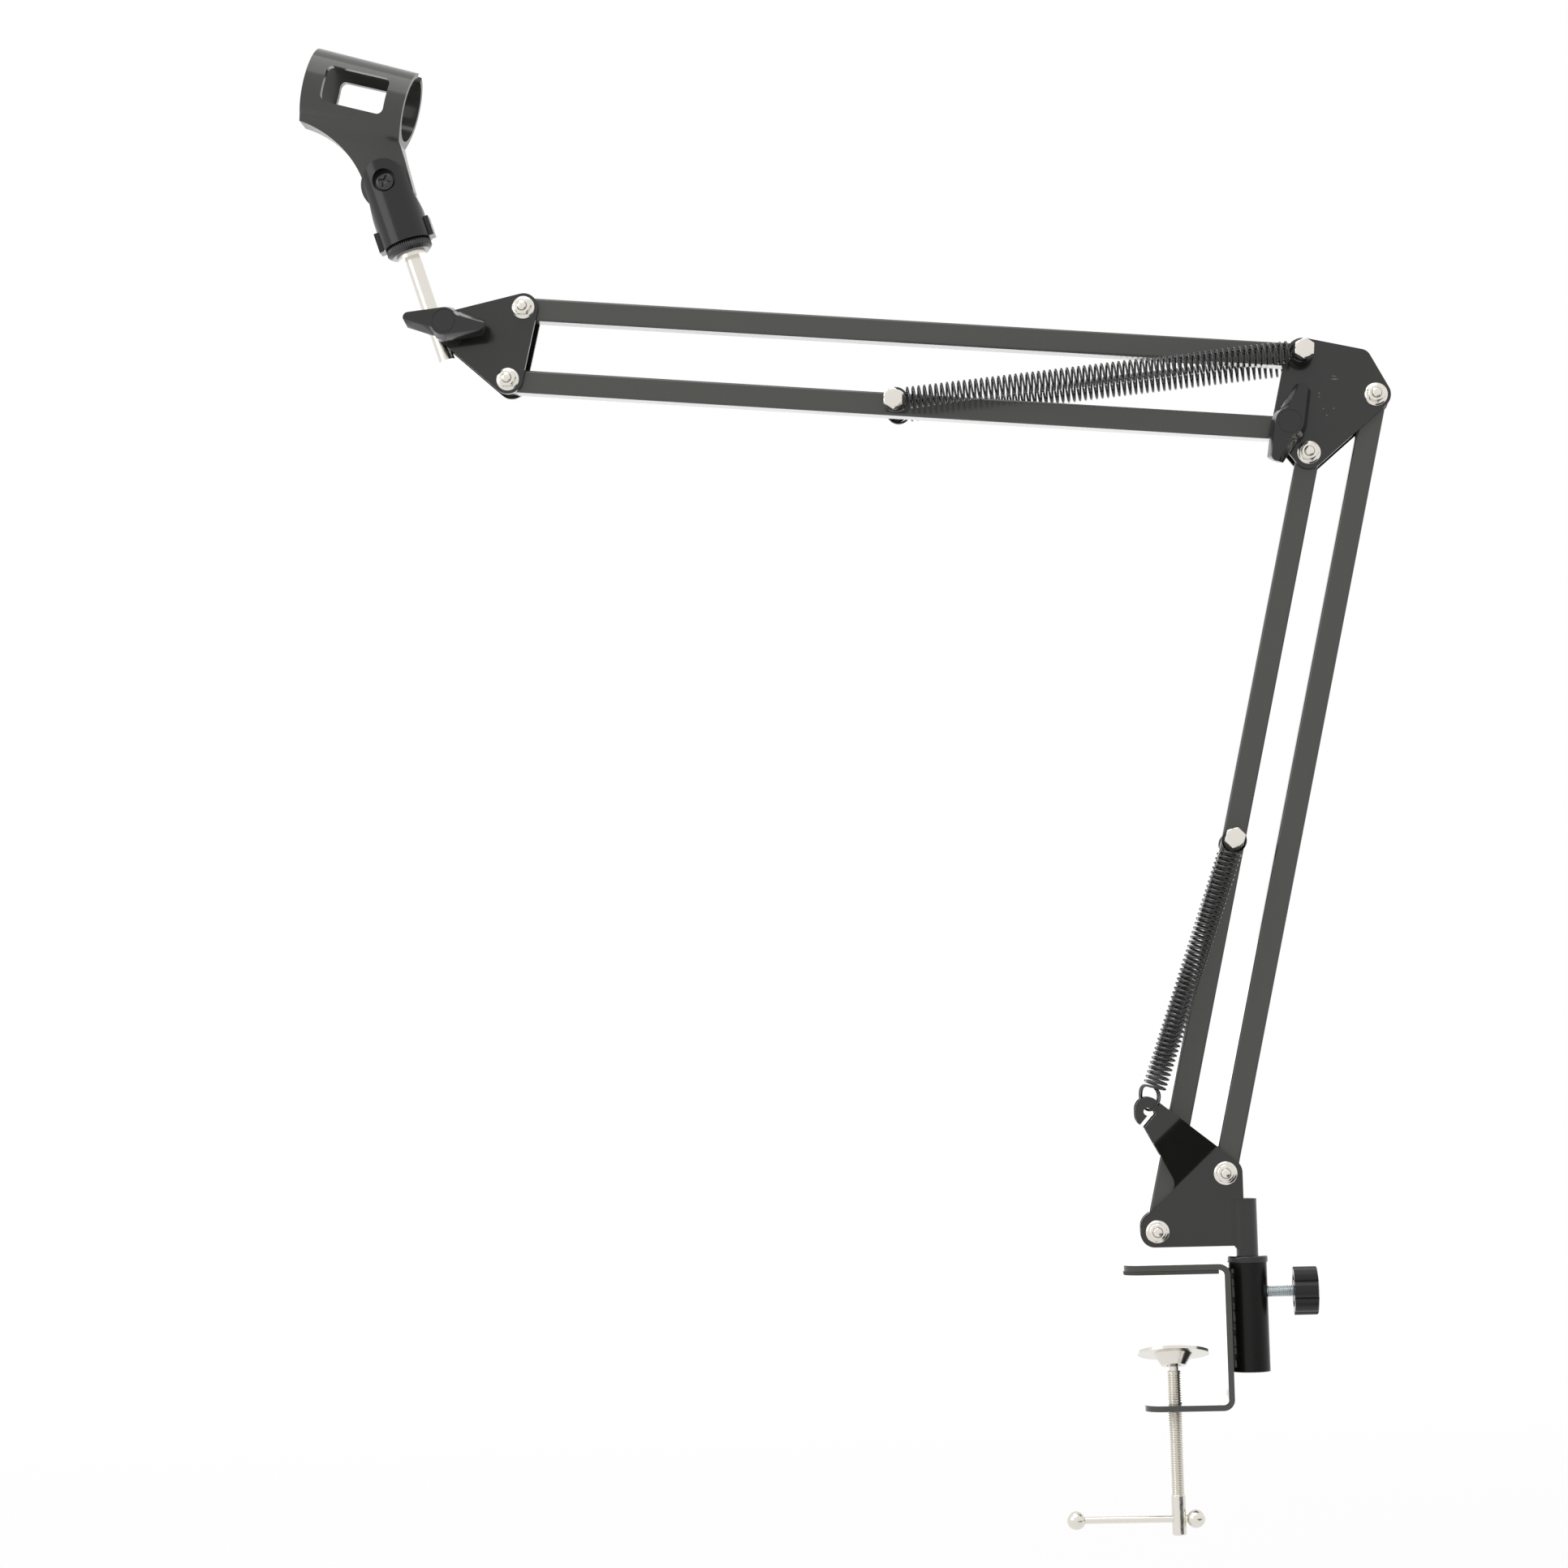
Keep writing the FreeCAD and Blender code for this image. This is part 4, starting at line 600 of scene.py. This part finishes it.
# Camera, fitted to the photo's bars, bolts and plates
camera_yaw, camera_pitch, camera_roll = -0.0757, 0.0817, -0.0267
camera_place = Vector((-41.53, -1552.94, 86.67)) * MM
camera_data = bpy.data.cameras.new("camera")
camera_data.sensor_width = 36.0
camera_data.lens = 82.72
camera_data.clip_end = 20.0
camera = bpy.data.objects.new("camera", camera_data)
bpy.context.scene.collection.objects.link(camera)
ahead = Vector((math.sin(camera_yaw) * math.cos(camera_pitch), math.cos(camera_yaw) * math.cos(camera_pitch),
                math.sin(camera_pitch)))
level = Vector((math.cos(camera_yaw), -math.sin(camera_yaw), 0))
rise = level.cross(ahead)
right = math.cos(camera_roll) * level + math.sin(camera_roll) * rise
up = math.cos(camera_roll) * rise - math.sin(camera_roll) * level
camera.matrix_world = Matrix.Translation(camera_place) @ Matrix((right, up, -ahead)).transposed().to_4x4()
bpy.context.scene.camera = camera

# Light: a white room seen by camera and mirrors, dimmer for the rest, two soft boxes and a low strip
bpy.context.scene.view_settings.view_transform = "Standard"


def seen_rays(tree):
    """1 for rays from the camera, from mirrors or through glass, 0 for the rest."""
    ray = node(tree, "ShaderNodeLightPath").outputs
    either = node(tree, "ShaderNodeMath", {0: ray["Is Camera Ray"], 1: ray["Is Glossy Ray"]},
                  operation="MAXIMUM")
    either = node(tree, "ShaderNodeMath", {0: either.outputs[0], 1: ray["Is Transmission Ray"]},
                  operation="MAXIMUM")
    return either.outputs[0]


world = bpy.data.worlds.new("white room")
bpy.context.scene.world = world
world.use_nodes = True
tree = world.node_tree
tree.nodes.clear()
strength = node(tree, "ShaderNodeMapRange", {"Value": seen_rays(tree), "To Min": 0.7, "To Max": 1.0})
room = node(tree, "ShaderNodeBackground", {"Color": (1, 1, 1, 1), "Strength": strength.outputs["Result"]})
node(tree, "ShaderNodeOutputWorld", {"Surface": room.outputs["Background"]})


def aimed(made, place, aim):
    """Put an object at place, in metres, with its -Z side to aim."""
    made.location = place
    made.rotation_euler = (Vector(aim) - Vector(place)).to_track_quat("-Z", "Y").to_euler()
    bpy.context.scene.collection.objects.link(made)


def soft_box(name, place, aim, size, watts):
    """A rectangular lamp, size wide and high, that the camera doesn't see."""
    data = bpy.data.lights.new(name, "AREA")
    data.shape = "RECTANGLE"
    data.size, data.size_y = size
    data.energy = watts
    lamp = bpy.data.objects.new(name, data)
    lamp.visible_camera = False
    aimed(lamp, place, aim)


middle = (cad_low + cad_high) / 2
soft_box("top box", middle + Vector((-0.3, -0.5, 1.3)), middle, (1.2, 1.2), 8)
soft_box("left box", middle + Vector((-1.4, -1.0, 0.5)), middle, (1.0, 1.0), 5)
# a low strip behind, which shows in the undersides as they graze
soft_box("back strip", middle + Vector((0.1, 1.3, -0.25)), middle, (1.6, 0.5), 2.3)


def stage_sheet(name, size, finish):
    """A square sheet that isn't part of the object."""
    mesh = bpy.data.meshes.new(name)
    half = size / 2
    corners = [(-half, -half, 0), (half, -half, 0), (half, half, 0), (-half, half, 0)]
    mesh.from_pydata(corners, [], [(0, 1, 2, 3)])
    mesh.materials.append(finish)
    made = bpy.data.objects.new(name, mesh)
    made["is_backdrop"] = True
    return made


# plain paper: white at a distance, and near the object the shadow that falls on it
shadow_near, shadow_far, near_white, floor_drop = 0.3, 1.5, 0.82, 0.05
floor_paper = surface("floor paper", "#ffffff", 0.9, specular=0.1)
tree = floor_paper.node_tree
place = node(tree, "ShaderNodeTexCoord").outputs["Object"]
away = node(tree, "ShaderNodeVectorMath", {0: place}, operation="LENGTH")
clear = node(tree, "ShaderNodeMapRange", {
    "Value": away.outputs["Value"], "From Min": shadow_near, "From Max": shadow_far,
    "To Min": near_white, "To Max": 1.0}, interpolation_type="SMOOTHSTEP")
glow = node(tree, "ShaderNodeEmission", {"Color": (1, 1, 1, 1), "Strength": 1.0})
lit = next(n for n in tree.nodes if n.type == "BSDF_PRINCIPLED")
share = node(tree, "ShaderNodeMath", {0: seen_rays(tree), 1: clear.outputs["Result"]}, operation="MULTIPLY")
mixed = node(tree, "ShaderNodeMixShader",
             {0: share.outputs[0], 1: lit.outputs["BSDF"], 2: glow.outputs["Emission"]})
tree.links.new(mixed.outputs[0], next(n for n in tree.nodes if n.type == "OUTPUT_MATERIAL").inputs["Surface"])
floor = stage_sheet("floor", 12.0, floor_paper)
floor.location = (0, 0, cad_low.z - floor_drop)
bpy.context.scene.collection.objects.link(floor)

# a black sheet on the floor in front, that only mirrors see: it paints dark reflections into the faces that
# look down and forward
dark_reflection_sheet = surface("black, painted dark reflections", "#0a0a0a", 1.0, specular=0.0)
card = stage_sheet("dark reflection sheet", 0.8, dark_reflection_sheet)
card.location = (0.5, -0.5, cad_low.z - 0.045)
bpy.context.scene.collection.objects.link(card)
card.visible_camera = False
card.visible_diffuse = False
card.visible_shadow = False
card.visible_transmission = False

low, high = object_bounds()
